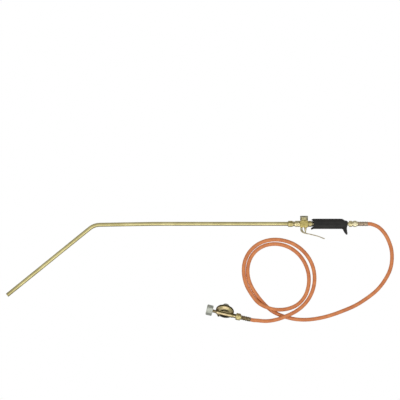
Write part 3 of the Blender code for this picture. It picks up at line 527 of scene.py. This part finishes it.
def moulded(name, base, rubbed, roughness, spark=0.8, shine=0.5):
    """Spark-eroded nylon moulding: a fine even grain, greyed a little where hands rub it."""
    made, tree, shader = new_finish(name, 0.0, roughness, IOR=1.5, Specular_IOR_Level=shine)
    place = node(tree, "TexCoord")
    pits = node(tree, "TexNoise", {"Vector": place.outputs["Object"], "Scale": grain(spark),
                                   "Detail": 2, "Roughness": 0.5})
    hands = node(tree, "TexNoise", {"Vector": place.outputs["Object"], "Scale": grain(22),
                                    "Detail": 5, "Roughness": 0.7})
    tones = node(tree, "ValToRGB", {"Fac": hands.outputs["Fac"]},
                 stops=[(0.42, colour(base)), (0.72, colour(rubbed))])
    laid_on(tree, shader, tones.outputs["Color"],
            (hands.outputs["Fac"], roughness + 0.06, roughness - 0.08),
            (pits.outputs["Fac"], 0.35, 0.08))
    return made


def hose_rubber():
    """Extruded nitrile over a braid: satin orange, its braid just showing, and scuffed."""
    made, tree, shader = new_finish("hose_rubber", 0.0, 0.48, IOR=1.5)
    place = node(tree, "TexCoord")
    # The braid's strands cross at about 55 degrees, 2.4 mm apart.
    strands = []
    for turn in (35, -35):
        laid = node(tree, "Mapping", {"Vector": place.outputs["UV"],
                                      "Rotation": (0, 0, math.radians(turn))})
        strands.append(node(tree, "TexWave", {"Vector": laid.outputs["Vector"],
                                              "Scale": 0.314 * grain(2.4)},
                            bands_direction="X").outputs["Fac"])
    braid = node(tree, "Math", {0: strands[0], 1: strands[1]}, operation="MAXIMUM")
    scuffs = node(tree, "TexNoise", {"Vector": place.outputs["Object"], "Scale": grain(30),
                                     "Detail": 6, "Roughness": 0.7})
    tones = node(tree, "ValToRGB", {"Fac": scuffs.outputs["Fac"]},
                 stops=[(0.35, colour("#bf6b38")), (0.68, colour("#db8b50"))])
    valleys = node(tree, "ValToRGB", {"Fac": braid.outputs["Value"]},
                   stops=[(0.3, grey(0.86)), (0.8, grey(1.0))])
    laid_on(tree, shader, tones.outputs["Color"], (scuffs.outputs["Fac"], 0.42, 0.58),
            (braid.outputs["Value"], 0.3, 0.12), valleys.outputs["Color"])
    return made


LANCE = drawn_brass()
BRASS = machined("machined_brass", "#bdb07a", "#8d8054", 0.42)
BLOCK = machined("milled_block_brass", "#d2c27a", "#9c8b50", 0.32, mark=4.2, cut=0.68)
BONNET = machined("turned_bonnet_brass", "#d8cf9e", "#a49a6c", 0.34, mark=3.2)
PALE = machined("pale_brass", "#d8cda2", "#9e9268", 0.34)
BRIGHT = machined("bright_union_brass", "#f4ebc6", "#b8ac82", 0.28)
FERRULE = machined("dulled_ferrule_brass", "#bfab92", "#7a6b58", 0.4, mark=0.8)
DARK_FERRULE = machined("tarnished_ferrule_brass", "#8e7e5e", "#544628", 0.42, mark=0.8)
JET = machined("jet_brass", "#b59c55", "#6d5c34", 0.4)
# Each casting's third colour is the painted shade on its rim's sides.
CAST_BODY = cast("passivated_casting", "#dcc79e", "#a89e70", "#574d2e", 0.42, 26)
CAST_BONNET = cast("bonnet_casting", "#a39a70", "#837a52", "#4a4229", 0.4, 18)
# The finish for the inside of the regulator's slot: painted shade, near black.
SLOT_SHADE = moulded("painted_slot_shade", "#171004", "#2a210e", 0.85)
ZINC = zinc_plate()
WIRE = zinc_plate("spring_wire", "#c6c8c6", "#8f9290", 0.26)
LEVER_PLATE = zinc_plate("passivated_lever_steel", "#b8ad90", "#857c62", 0.34)
DARK_ZINC = zinc_plate("blackened_zinc", "#a5a283", "#6d6a50", 0.4)
NYLON = moulded("black_nylon", "#0d0c0a", "#1b1913", 0.56, shine=0.35)
GREY_CAP = moulded("grey_nylon", "#8b8a7e", "#a8a79c", 0.45)
RUBBER = moulded("black_rubber", "#141414", "#2a2926", 0.7, spark=1.2)
HOSE = hose_rubber()


# ---------------------------------------- putting pieces in


def stands_for(made, cad_node, finish, body="frame"):
    """Give a piece its finish and let it take its CAD node's place."""
    made.data.transform(made.matrix_world)
    made.matrix_world = Matrix.Identity(4)
    made.data.materials.clear()
    made.data.materials.append(finish)
    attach(made, body)
    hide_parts(cad_node)
    return made


# ---------------------------------------- hose

# The hose's route between its ends, in millimetres, as the solid hose lies.
HOSE_ROUTE = [
    (668, 111, 15.4), (686, 103, 13.9), (701, 90, 11.8), (715, 71, 9.6), (725, 50, 7.9),
    (732, 28, 7.0), (735, 4, 6.8), (734, -21, 6.8), (729, -45, 6.8), (719, -68, 6.8),
    (707, -88, 6.8), (692, -108, 6.8), (673, -127, 6.8), (644, -149, 6.8), (609, -171, 6.8),
    (566, -190, 6.8), (522, -206, 6.8), (478, -217, 6.8), (433, -222, 6.8), (396, -220, 6.8),
    (365, -213, 6.8), (337, -203, 6.8), (316, -192, 6.8), (300, -179, 6.8), (284, -163, 6.8),
    (260, -133, 6.8), (238, -94, 6.8), (230, -45, 6.8), (245, 2, 6.8), (280, 33, 6.8),
    (325, 43, 6.8), (371, 33, 6.8), (408, 7, 6.8), (431, -26, 6.8), (443, -63, 6.8),
    (443, -101, 6.8), (432, -137, 6.8), (407, -167, 7.2), (373, -183, 10.0), (340, -187, 15.5),
    (319, -185, 19.6), (301, -180, 21.0), (284, -173, 19.6), (267, -162, 15.6),
    (247, -138, 9.6), (228, -106, 7.0), (217, -66, 6.8), (218, -26, 6.8), (237, 16, 6.8),
    (273, 46, 6.8), (317, 58, 6.8), (361, 54, 6.8), (401, 37, 6.8), (432, 10, 6.8),
    (453, -23, 6.8), (463, -59, 6.8), (463, -96, 6.8), (453, -131, 6.8), (434, -162, 7.4),
    (411, -184, 10.6), (385, -200, 16.4), (360, -211, 20.9), (342, -218, 21.4),
    (323, -223, 23.0), (303, -226, 26.0), (282, -226, 29.6), (261, -224, 32.8),
]
TORCH_FERRULE = (189.0, 222.6)
REGULATOR_FERRULE = (61.4, 94.1)
HOSE_LEAD = 6


def hose_line():
    """The hose's middle from ferrule to ferrule."""
    start = TORCH @ Vector(((TORCH_FERRULE[1] + GAP) * MM, 0, 0))
    end = REGULATOR @ Vector(((REGULATOR_FERRULE[1] + GAP) * MM, 0, LINE_DEPTH * MM))
    along_torch = TORCH.to_3x3().col[0]
    along_line = REGULATOR.to_3x3().col[0]
    route = [tuple(start + HOSE_LEAD * MM * along_torch)]
    route += [(x * MM, y * MM, z * MM) for x, y, z in HOSE_ROUTE]
    route.append(tuple(end + HOSE_LEAD * MM * along_line))
    points = smooth_path(route, along_torch, -along_line, 6 * MM)
    return [tuple(start)] + [tuple(p) for p in points] + [tuple(end)]


def make_hose():
    line = hose_line()
    hose = swept("orange_hose", line, HOSE_RADIUS, 28, Matrix.Identity(4))
    stands_for(eased(hose, 0.4), "gas_hose", HOSE)
    return hose, line, sum(math.dist(a, b) for a, b in zip(line, line[1:]))


# ---------------------------------------- lance

def rounded_corner(corner, radius, before, after, count):
    """Points on the arc that rounds a path's corner, between its two directions."""
    reach = radius * math.tan((before - after) / 2)
    centre = (corner[0] - reach * math.cos(before) + radius * math.sin(before),
              corner[1] - reach * math.sin(before) - radius * math.cos(before))
    return arc(centre, radius, 90 + math.degrees(before), 90 + math.degrees(after), count)


def lance_path():
    """The tube's middle, from its mouth over the bend and a slight droop to the valve."""
    bend = (-734.7, -3.7)
    droop_x = -520
    angle = math.radians(38.98)
    leg = 391.2
    mouth = (bend[0] - leg * math.cos(angle), bend[1] - leg * math.sin(angle))
    droop = math.atan2(-bend[1], droop_x - bend[0])
    corners = [mouth] + rounded_corner(bend, 58, angle, droop, 20)
    corners += rounded_corner((droop_x, 0), 3000, droop, 0, 8) + [(-46.6, 0)]
    spacing = 20
    points = [corners[0]]
    for near, far in zip(corners, corners[1:]):
        parts = max(1, round(math.dist(near, far) / spacing))
        points += [(near[0] + (far[0] - near[0]) * i / parts,
                    near[1] + (far[1] - near[1]) * i / parts) for i in range(1, parts + 1)]
    return [(x * MM, y * MM, 0) for x, y in points]


def make_lance():
    line = lance_path()
    tube = swept("bent_brass_tube", line, TUBE_RADIUS, 40, TORCH)
    bore_line = [tuple(2 * Vector(line[0]) - Vector(line[1]))] + line[1:-1] + [
        (line[-1][0] + 10 * MM, 0, 0)]
    bore = swept("tube_bore", bore_line, TUBE_RADIUS - TUBE_WALL, 40, TORCH)
    combine(tube, bore)
    stands_for(eased(tube, 0.3), "lance_tube", LANCE)

    nut = collared_nut(
        "tube_nut", 19, (-55.3, -39.6),
        [(0, -50), (8.9, -50), (8.9, -56.4), (8.1, -57.4), (0, -57.4)],
        [(0, -38), (7.5, -38), (7.5, -50), (7.25, -50), (7.25, -60), (0, -60)], TORCH)
    stands_for(eased(nut, 0.25), "lance_nut", BRASS)

    barrel = ([(0, -6), (6, -6), (6, -14), (8.6, -14), (8.6, -31)]
              + threads(8.6, -39.2, -32.2, 1.1, 0.55) + [(7.2, -39.3), (7.2, -45), (0, -45)])
    union = collared_nut("outlet_union_turned", 19, (-31.5, -14.7), barrel,
                         [(0, 0), (3, 0), (3, -FAR), (0, -FAR)], TORCH)
    stands_for(eased(union, 0.2), "outlet_union", PALE)


# ---------------------------------------- valve

def make_valve():
    body = block("milled_block", (-14, -12.4, -14), (14, 12, 14), TORCH)
    lug = plate("block_lug", [(PIVOT[0] + 4, -10.4)] + arc(PIVOT, 4, 0, -180, 25)
                + [(PIVOT[0] - 4, -10.4)], -5, 5, TORCH)
    combine(body, lug, "UNION")
    combine(body, rod("block_pin_hole", 2.3, -FAR, FAR, TORCH, "Z", (*PIVOT, 0)))
    combine(body, rod("gland_hole", 5.5, -20, -6.5, TORCH, "Y", (PLUNGER_X, 0, 0)))
    combine(body, turned("bonnet_hole", [
        (0, 20), (10, 20), (10, 9.8), (8, 9.8), (8, 7), (0, 7)], TORCH, "Y"))
    combine(body, rod("inlet_hole", 6.3, 10.9, 20, TORCH, "X"))
    combine(body, rod("outlet_hole", 6.3, -20, -5.7, TORCH, "X"))
    stands_for(eased(body, 1.1), "valve_body", BLOCK)

    bonnet = turned("pilot_bonnet_turned", [
        (13.2, 22.9), (13.7, 22.4), (13.7, 20.6), (13.1, 20.1), (13.1, 19.3), (13.7, 18.8),
        (13.7, 13.4), (12.8, 12.3), (7.7, 12.3), (7.7, 7.4), (2.8, 7.4), (2.8, 22.9)],
        TORCH, "Y", closed=True)
    stands_for(eased(bonnet, 0.15), "pilot_bonnet", BONNET)

    tooth_count, teeth = 44, []
    for i in range(tooth_count):
        for turn, radius in ((0.0, 13.3), (0.3, 14.0), (0.5, 14.0)):
            angle = 2 * math.pi * (i + turn) / tooth_count
            teeth.append((radius * math.cos(angle), radius * math.sin(angle)))
    knob = plate("knurled_cap", teeth, 22, 30, TORCH, "Y")
    dome = turned("cap_dome", [
        (0, 28.2), (8, 28.2), (8.6, 27.7), (9.2, 28.1), (12.6, 28.0), (14.2, 26.9),
        (14.2, 24.2), (13, 23.3), (0, 23.3)], TORCH, "Y")
    combine(knob, dome, "INTERSECT")
    combine(knob, rod("cap_socket", 2.8, 20, 26.5, TORCH, "Y"))
    stands_for(eased(knob, 0.12), "pilot_knob", DARK_ZINC, "pilot_knob")


def make_plunger():
    at = (PLUNGER_X, 0, 0)
    gland = turned("gland_bush", [
        (5.2, -6.8), (5.2, -12.7), (6, -12.7), (6, -13.5), (5.6, -13.9), (4.3, -13.9),
        (4.3, -6.8)], TORCH, "Y", at, closed=True)
    stands_for(eased(gland, 0.15), "plunger_gland", PALE)
    plunger = turned("pointed_plunger", [
        (0, -3), (1.7, -3), (1.7, -9.9), (4, -9.9), (4, -17), (1.6, -29.5), (1.3, -30.2),
        (0.7, -30.65), (0, -30.8)], TORCH, "Y", at)
    stands_for(eased(plunger, 0.2), "valve_plunger", PALE, "plunger")

    # The return spring, between the seal on the plunger and the end of its chamber
    low, high, radius, wire, turns = -0.6, 5.5, 3.5, 0.35, 3
    coil = []
    for share in np.linspace(0, 1, 24 * turns + 1):
        angle = 2 * math.pi * turns * share
        coil.append(MM * Vector((PLUNGER_X + radius * math.cos(angle),
                                 low + wire + share * (high - low - 2 * wire),
                                 -radius * math.sin(angle))))
    spring = swept("return_spring", coil, wire, 10, TORCH)
    stands_for(eased(spring, 0.0, sharp=50), "valve_spring", WIRE)
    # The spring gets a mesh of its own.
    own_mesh(spring)


def lever_path(first, last, count):
    """Part of the bent strip's middle, from its pivot, as (x, y) points."""
    bends = [PIVOT, (-8.6, -22.6), (-5.4, -27.2), (1.0, -31.3), (9.8, -33.9),
             (25.5, -37.3), (42.3, -41.5), (54.6, -45.4), (65.5, -50.0), (72.1, -51.6)]
    route = [(x, y, 0) for x, y in bends]
    whole = smooth_path(route, (0.05, -1, 0), (1, -0.2, 0), 0.4)[:, :2] - np.array(PIVOT)
    last_point = len(whole) - 1
    picks = np.linspace(first * last_point, last * last_point, count).round().astype(int)
    return whole[picks]


def ribbon(path, widths):
    """The outline of a strip that follows a path, with its width at each point."""
    ways = np.gradient(path, axis=0)
    ways /= np.linalg.norm(ways, axis=1)[:, None]
    sides = np.column_stack([-ways[:, 1], ways[:, 0]]) * np.array(widths)[:, None] / 2
    return [tuple(p) for p in path + sides] + [tuple(p) for p in (path - sides)[::-1]]


def make_lever():
    at, count = (*PIVOT, 0), 48
    strip = plate("pressed_lever", ribbon(lever_path(0.11, 1.0, count), [2.2] * count),
                  -7.3, 7.3, TORCH, "Z", at)
    cheek = ribbon(lever_path(0.0, 1.0, count), np.interp(
        np.linspace(0, 1, count), (0, 0.06, 0.12, 0.2, 0.3, 1), (8, 8.4, 7.2, 5.4, 3.8, 3.2)))
    cheek += arc((0, 0), 4, 172, 8, 21)
    for name, low, high in (("lever_cheek_low", -7.32, -5.3), ("lever_cheek_high", 5.3, 7.32)):
        combine(strip, plate(name, cheek, low, high, TORCH, "Z", at), "UNION")
    combine(strip, rod("lever_hole", 2.3, -FAR, FAR, TORCH, "Z", at))
    stands_for(eased(strip, 0.35), "lever", LEVER_PLATE, "lever")

    head = 7.7
    pin = turned("riveted_pin", [
        (0, head + 1.2), (1.6, head + 1.15), (2.5, head + 0.8), (2.9, head + 0.3), (2.9, head),
        (2, head), (2, -head), (2.9, -head), (2.9, -head - 0.3), (2.5, -head - 0.8),
        (1.6, -head - 1.15), (0, -head - 1.2)], TORCH, "Z", at)
    stands_for(eased(pin, 0), "lever_pin", ZINC)


# ---------------------------------------- handle

def grip_half(y):
    """Half the grip's thickness at height y."""
    return GRIP_HALF_THICKNESS * (1 - abs(y / GRIP_HALF_HEIGHT) ** GRIP_POWER) ** (
        1 / GRIP_POWER)


def handle_side():
    """The handle seen from its side, with its hook in front and its guard behind."""
    front = [(25.4, 12.9)] + arc((17.6, 0), 15.9, 46, -62, 28)
    hook = [(23.9, -15.0), (24.6, -19.6), (25.9, -20.9), (28.2, -19.6), (32.5, -17.8)]
    guard = [(131.5, -17.8), (135.0, -19.0), (138.2, -23.3), (144.4, -34.1), (145.9, -36.9),
             (148.0, -38.2), (150.8, -37.4), (152.2, -34.6), (149.9, -20.0), (149.9, -13.0),
             (151.3, -7.0), (153.0, -1.0), (153.2, 4.0), (152.3, 8.6), (149.6, 11.0)]
    top = [(145.5, 11.6), (141.4, 12.2), (137.6, 15.4), (133.4, 17.4), (127.5, 18.0),
           (80.0, 18.4), (32.0, 18.0), (28.6, 16.6), (26.2, 14.6)]
    return front + hook + guard + top


def handle_section():
    """The handle seen along the torch: an oval grip on a narrower tongue, as (z, y)."""
    corner, side, foot = 4, 5, -35
    tongue_y = -GRIP_HALF_HEIGHT * (
        1 - ((side + corner) / GRIP_HALF_THICKNESS) ** GRIP_POWER) ** (1 / GRIP_POWER)
    heights = GRIP_HALF_HEIGHT * np.sin(np.linspace(math.asin(tongue_y / GRIP_HALF_HEIGHT),
                                                   math.pi / 2, 40))
    right = [(grip_half(y), y) for y in heights]
    left = [(-z, y) for z, y in right[-2::-1]]
    base = arc((-side, foot), corner, 180, 270, 8) + arc((side, foot), corner, 270, 360, 8)
    return right + left + base


def make_handle():
    form = plate("moulded_grip", handle_side(), -20, 20, TORCH)
    section = plate("grip_section", handle_section(), 20, 160, TORCH, "X")
    combine(form, section, "INTERSECT")
    # Low ribs run along the grip on both faces.
    for y in (-12.6, -3.2, 6.4):
        for side in (-1, 1):
            rib = rod("grip_rib", 1.5, 42, 126, TORCH, "X",
                      (0, y, side * (grip_half(y) - 0.8)), steps=20)
            combine(form, rib, "UNION")
    # Short ribs stop the hand sliding on the guard's inner face.
    for share in np.linspace(0.12, 0.88, 6):
        x = 136.6 + share * 7.4
        y = -20.6 - share * 12.9
        rib = rod("guard_rib", 1.1, -7.5, 7.5, TORCH, "Z", (x, y, 0), steps=16)
        combine(form, rib, "UNION")
    combine(form, rod("grip_bore", 6.8, 0, 200, TORCH, "X"))
    for screw, (x, y) in HANDLE_SCREWS.items():
        seat = -grip_half(y) + 2.9
        combine(form, rod(screw + "_well", 4.3, -FAR, seat, TORCH, "Z", (x, y, 0)))
    cast_skin(form, 0.75, 5)
    for name, cad_node, side in (("grip_half_upper", "handle_shell_upper", 1),
                                 ("grip_half_lower", "handle_shell_lower", -1)):
        shape = bmesh.new()
        shape.from_mesh(form.data)
        cut = bmesh.ops.bisect_plane(
            shape, geom=shape.verts[:] + shape.edges[:] + shape.faces[:],
            plane_co=(0, 0, side * GAP / 2 * MM), plane_no=(0, 0, -side), clear_outer=True)
        rim = [part for part in cut["geom_cut"] if isinstance(part, bmesh.types.BMEdge)]
        bmesh.ops.triangle_fill(shape, edges=rim, use_beauty=True)
        half = piece_from(name, shape, TORCH)
        stands_for(eased(half, 0, sharp=60), cad_node, NYLON)
    bpy.data.objects.remove(form, do_unlink=True)

    for name, (x, y) in HANDLE_SCREWS.items():
        seat = -grip_half(y) + 2.6
        tip = grip_half(y) - 3.4
        screw = turned("cross_" + name, [
            (0, tip), (1.5, tip), (1.5, seat), (3.5, seat), (3.5, seat - 1),
            (3.1, seat - 1.7), (2.3, seat - 2.1), (0, seat - 2.25)],
            TORCH, "Z", (x, y, 0), steps=40)
        for turn in (45, 135):
            blade = block("cross_cut", (-2.1, -0.4, seat - 5), (2.1, 0.4, seat - 0.9), TORCH)
            blade.data.transform(Matrix.Translation((x * MM, y * MM, 0))
                                 @ Matrix.Rotation(math.radians(turn), 4, "Z"))
            combine(screw, blade)
        stands_for(eased(screw, 0.08), name, ZINC)


# ---------------------------------------- gas line at the handle

def make_gas_line():
    collar = hexagon("inlet_collar_milled", 18.5, 14.3, 25.4, TORCH, roll=8)
    combine(collar, rod("collar_bore", 6.3, 0, 40, TORCH, "X"))
    stands_for(eased(collar, 0.25), "inlet_collar", BRASS)
    dome = [(7.0 + 2.6 * math.sin(a), 27.6 + 3.5 * math.cos(a))
            for a in np.linspace(0.35, math.pi / 2, 8)]
    ring = turned("domed_ring", [(7.4, 31.2)] + dome + [(9.6, 25.7), (6.3, 25.7), (6.3, 31.2)],
                  TORCH, "X", closed=True)
    stands_for(eased(ring, 0.2), "collar_ring", PALE)

    rear = collared_nut(
        "rear_nut_milled", 19, (156.6, 167.2),
        [(0, 158), (8.7, 158), (8.7, 171.2), (8.2, 171.8), (0, 171.8)],
        [(0, 180), (6.3, 180), (6.3, 140), (0, 140)], TORCH)
    stands_for(eased(rear, 0.25), "rear_nut", PALE)

    union = collared_nut(
        "hose_union_milled", 19, (172.1, 183.4),
        [(0, 188.7), (7.6, 188.7), (8.5, 187.8), (8.5, 186), (8.0, 185.5), (8.0, 184.7),
         (8.5, 184.2), (8.5, 174), (0, 174)],
        [(0, 200), (4.3, 200), (4.3, 175.8), (7.2, 175.8), (7.2, 165), (0, 165)],
        TORCH, roll=8)
    stands_for(eased(union, 0.2), "hose_union_nut", BRIGHT)


def make_ferrule(name, cad_node, low, high, place, at, finish):
    """A crimped ferrule, pinched by the press in four rounded grooves."""
    outer = []
    for height in np.linspace(high - 1, low + 1, 60):
        share = (high - height) / (high - low)
        pinch = max(0.0, math.sin(2 * math.pi * (4 * share - 0.25))) ** 0.7
        outer.append((FERRULE_RADIUS - 0.95 * pinch * (0.06 < share < 0.98), height))
    profile = ([(4.3, high), (FERRULE_RADIUS - 0.9, high)] + outer
               + [(FERRULE_RADIUS - 0.8, low), (4.3, low)])
    made = turned(name, profile, place, "X", at, closed=True)
    return stands_for(eased(made, 0, sharp=50), cad_node, finish)


# ---------------------------------------- regulator

def bonnet_screw_places():
    radius = DISC_RADIUS - 3.7
    return [(radius * math.cos(math.radians(a)), radius * math.sin(math.radians(a)))
            for a in (45, 135, 225, 315)]


def make_regulator_body():
    body = turned("cast_regulator_body", [
        (0, -GAP / 2), (DISC_RADIUS, -GAP / 2), (DISC_RADIUS, -3.6), (31, -4.6), (28.5, -5.2),
        (24.5, -8.6), (20, -10.2), (0, -10.6)], REGULATOR, steps=96)
    ridge = turned("cast_line_ridge", [
        (0, 31), (7.4, 31), (8.5, 29), (8.5, -26.5), (7.2, -29), (0, -29)],
        REGULATOR, "X", GAS_LINE)
    outlet = turned("cast_outlet_neck", [
        (0, 50), (6.2, 50), (6.2, 41.2), (7.3, 41.2), (7.3, 26), (0, 26)],
        REGULATOR, "X", GAS_LINE)
    boss = rod("cast_port_boss", 5.5, 0, 12, REGULATOR, "Y", PORT)
    for added in (ridge, outlet, boss):
        combine(body, added, "UNION")
    half = SLOT_LENGTH / 2 - SLOT_RADIUS
    slot_x, slot_y = SLOT_MIDDLE
    slot = (arc((slot_x + half, slot_y), SLOT_RADIUS, -90, 90, 15)
            + arc((slot_x - half, slot_y), SLOT_RADIUS, 90, 270, 15))
    for added in (
            plate("cast_slot", slot, -20, -7.4, REGULATOR),
            rod("cast_port_bore", 3.3, 4, 20, REGULATOR, "Y", PORT),
            turned("cast_chamber", [
                (0, 5), (26, 5), (26, -1.4), (21, -1.4), (17, -4.6), (0, -4.6)], REGULATOR),
            rod("cast_inlet_bore", 5.8, -40, -21.5, REGULATOR, "X", GAS_LINE),
            rod("cast_outlet_bore", 3.5, 8, 60, REGULATOR, "X", GAS_LINE)):
        combine(body, added)
    cast_skin(body, 0.55, 3)
    stands_for(body, "regulator_body", CAST_BODY)
    # Painted shade: the slot's inside is painted near black, as the shade in its recess.
    body.data.materials.append(SLOT_SHADE)
    back = REGULATOR.inverted()
    knob_way = REGULATOR.to_3x3().col[2]
    for face in body.data.polygons:
        spot = back @ face.center / MM
        beyond = max(0.0, abs(spot.x - slot_x) - half)
        near = math.hypot(beyond, spot.y - slot_y) < SLOT_RADIUS + 0.35
        inside = spot.z > -10 or face.normal.dot(knob_way) > -0.75
        if near and inside and -11.5 < spot.z < -7:
            face.material_index = 1
    return body


def make_bonnet():
    bonnet = turned("cast_regulator_bonnet", [
        (DISC_RADIUS, GAP / 2), (22, GAP / 2), (17, 6), (7.9, 6.5), (7.9, 15.2), (3.3, 15.2),
        (3.3, 17), (9.6, 17), (9.6, 11.4), (10.4, 10.5), (18.4, 9.2), (20, 8.4), (23.8, 4.2),
        (25.2, 3.5), (31.4, 3.5), (DISC_RADIUS, 2.9)], REGULATOR, closed=True, steps=96)
    for x, y in bonnet_screw_places():
        combine(bonnet, rod("bonnet_hole", 2.3, -5, 5, REGULATOR, "Z", (x, y, 0)))
    pieces = [stands_for(eased(bonnet, 0.2), "regulator_bonnet", CAST_BONNET)]
    for number, (x, y) in enumerate(bonnet_screw_places(), 1):
        screw = turned(f"socket_screw_{number}", [
            (0, 5.4), (2.5, 5.4), (3.0, 5.1), (3.15, 4.7), (3.15, 3.8), (2, 3.8)]
            + threads(2, -2.6, 3.4, 0.7, 0.3) + [(0, -3)],
            REGULATOR, "Z", (x, y, 0), steps=40)
        shape = bmesh.new()
        bmesh.ops.create_cone(shape, cap_ends=True, segments=6, depth=6 * MM,
                              radius1=1.45 * MM, radius2=1.45 * MM)
        combine(screw, piece_from("socket", shape, REGULATOR, "Z", (x, y, 7)))
        pieces.append(stands_for(eased(screw, 0.06), f"bonnet_screw_{number}", ZINC))
    return pieces


def make_regulator_knob():
    flute_count, steps, flutes = 20, 120, []
    for i in range(steps):
        angle = 2 * math.pi * i / steps
        radius = 12 - 0.75 * max(0.0, math.cos(flute_count * angle)) ** 0.6
        flutes.append((radius * math.cos(angle), radius * math.sin(angle)))
    knob = plate("fluted_cap", flutes, 12, 29, REGULATOR)
    dome = turned("fluted_cap_dome", [
        (0, 27.3), (7.6, 27.3), (9.6, 26.9), (11.1, 26), (12.2, 24.2), (12.2, 13.5), (0, 13.5)],
        REGULATOR)
    combine(knob, dome, "INTERSECT")
    combine(knob, turned("cap_hollow", [(10, 10), (10, 17.8), (3, 17.8), (3, 10)], REGULATOR,
                         closed=True))
    return stands_for(eased(knob, 0.2), "regulator_knob", GREY_CAP, "regulator_knob")


def make_cylinder_connection():
    nipple = turned("shouldered_nipple", [
        (5.5, -22), (5.5, -29.5), (5.5, -46), (9.2, -46), (9.8, -46.6), (9.8, -49.5),
        (2.5, -49.5), (2.5, -22)], REGULATOR, "X", GAS_LINE, closed=True)
    pieces = [stands_for(eased(nipple, 0.2), "inlet_nipple", DARK_FERRULE)]

    outlet = collared_nut(
        "outlet_nut_milled", 21.5, (41.5, 57.6),
        [(0, 61.1), (7.2, 61.1), (8.2, 60.2), (8.2, 50), (0, 50)],
        [(0, 70), (4.3, 70), (4.3, 54), (6.6, 54), (6.6, 30), (0, 30)],
        REGULATOR, GAS_LINE, roll=20)
    pieces.append(stands_for(eased(outlet, 0.25), "outlet_nut", BRASS))

    plug = hexagon("hexagon_plug", 7.6, 12.3, 15.6, REGULATOR, "Y", PORT)
    combine(plug, rod("plug_shank", 3, 6, 13, REGULATOR, "Y", PORT), "UNION")
    pieces.append(stands_for(eased(plug, 0.15), "test_plug", ZINC))
    return pieces


# ---------------------------------------- the whole torch

hose, hose_points, hose_length = make_hose()
on_hose = [
    make_ferrule("torch_ferrule", "hose_ferrule_torch", *TORCH_FERRULE, TORCH, (0, 0, 0),
                 FERRULE),
    make_ferrule("regulator_ferrule", "hose_ferrule_regulator", *REGULATOR_FERRULE, REGULATOR,
                 GAS_LINE, DARK_FERRULE),
    make_regulator_body(), make_regulator_knob()]
on_hose += make_bonnet() + make_cylinder_connection()

# The cylinder nut and the pieces out of sight keep their solids, each in its own finish.
KEPT_ON_HOSE = {
    "diaphragm": RUBBER, "diaphragm_plate": ZINC, "regulator_poppet": BRASS,
    "regulator_spring": WIRE, "spring_seat": ZINC, "inlet_seal": RUBBER,
    "hose_nipple_torch": BRASS, "hose_nipple_regulator": BRASS, "cylinder_nut": ZINC}
KEPT_IN_TORCH = {
    "gas_jet": JET, "lance_seal": RUBBER, "bonnet_o_ring": RUBBER, "pilot_needle": ZINC,
    "valve_disc": RUBBER, "gas_tube": PALE}
for cad_node, finish in (KEPT_ON_HOSE | KEPT_IN_TORCH).items():
    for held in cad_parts[cad_node].material_slots:
        held.material = finish
on_hose += [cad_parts[name] for name in KEPT_ON_HOSE]

make_lance()
make_valve()
make_plunger()
make_lever()
make_handle()
make_gas_line()


# ---------------------------------------- floor and light

def set_room():
    """A white table in a room with a bright ceiling and dim walls, and one soft light."""
    shape = bmesh.new()
    bmesh.ops.create_grid(shape, x_segments=1, y_segments=1, size=4)
    table = piece_from("white_table", shape, Matrix.Translation((0, 0, -0.2 * MM)))
    paper = bpy.data.materials.new("white_card")
    paper.use_nodes = True
    tree = paper.node_tree
    card = tree.nodes["Principled BSDF"]
    card.inputs["Base Color"].default_value = grey(0.5)
    card.inputs["Roughness"].default_value = 0.9
    seen = node(tree, "LightPath")
    lit = node(tree, "Emission", {"Color": grey(1.0), "Strength": 1.0})
    both = node(tree, "MixShader", {"Fac": seen.outputs["Is Camera Ray"]})
    tree.links.new(card.outputs["BSDF"], both.inputs[1])
    tree.links.new(lit.outputs["Emission"], both.inputs[2])
    tree.links.new(both.outputs["Shader"], tree.nodes["Material Output"].inputs["Surface"])
    table.data.materials.append(paper)
    table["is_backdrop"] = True

    world = bpy.data.worlds.new("room")
    world.use_nodes = True
    tree = world.node_tree
    sky = tree.nodes["Background"]
    way = node(tree, "SeparateXYZ", {"Vector": node(tree, "TexCoord").outputs["Generated"]})
    height = node(tree, "MapRange", {"Value": way.outputs["Z"], "From Min": 0.1,
                                     "From Max": 0.75, "To Min": 0.5, "To Max": 0.98})
    sky.inputs["Color"].default_value = grey(1.0)
    tree.links.new(height.outputs["Result"], sky.inputs["Strength"])
    bpy.context.scene.world = world

    lamp = bpy.data.lights.new("soft_box", "AREA")
    lamp.shape = "RECTANGLE"
    lamp.size = 3.2
    lamp.size_y = 1.0
    lamp.energy = 20
    holder = bpy.data.objects.new("soft_box", lamp)
    holder.location = (0.1, -1.5, 2.4)
    aim = Vector((0.1, 0, 0)) - holder.location
    holder.rotation_euler = aim.to_track_quat("-Z", "Y").to_euler()
    bpy.context.scene.collection.objects.link(holder)
    bpy.context.scene.view_settings.view_transform = "Standard"


set_room()
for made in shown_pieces():
    made.data.update()
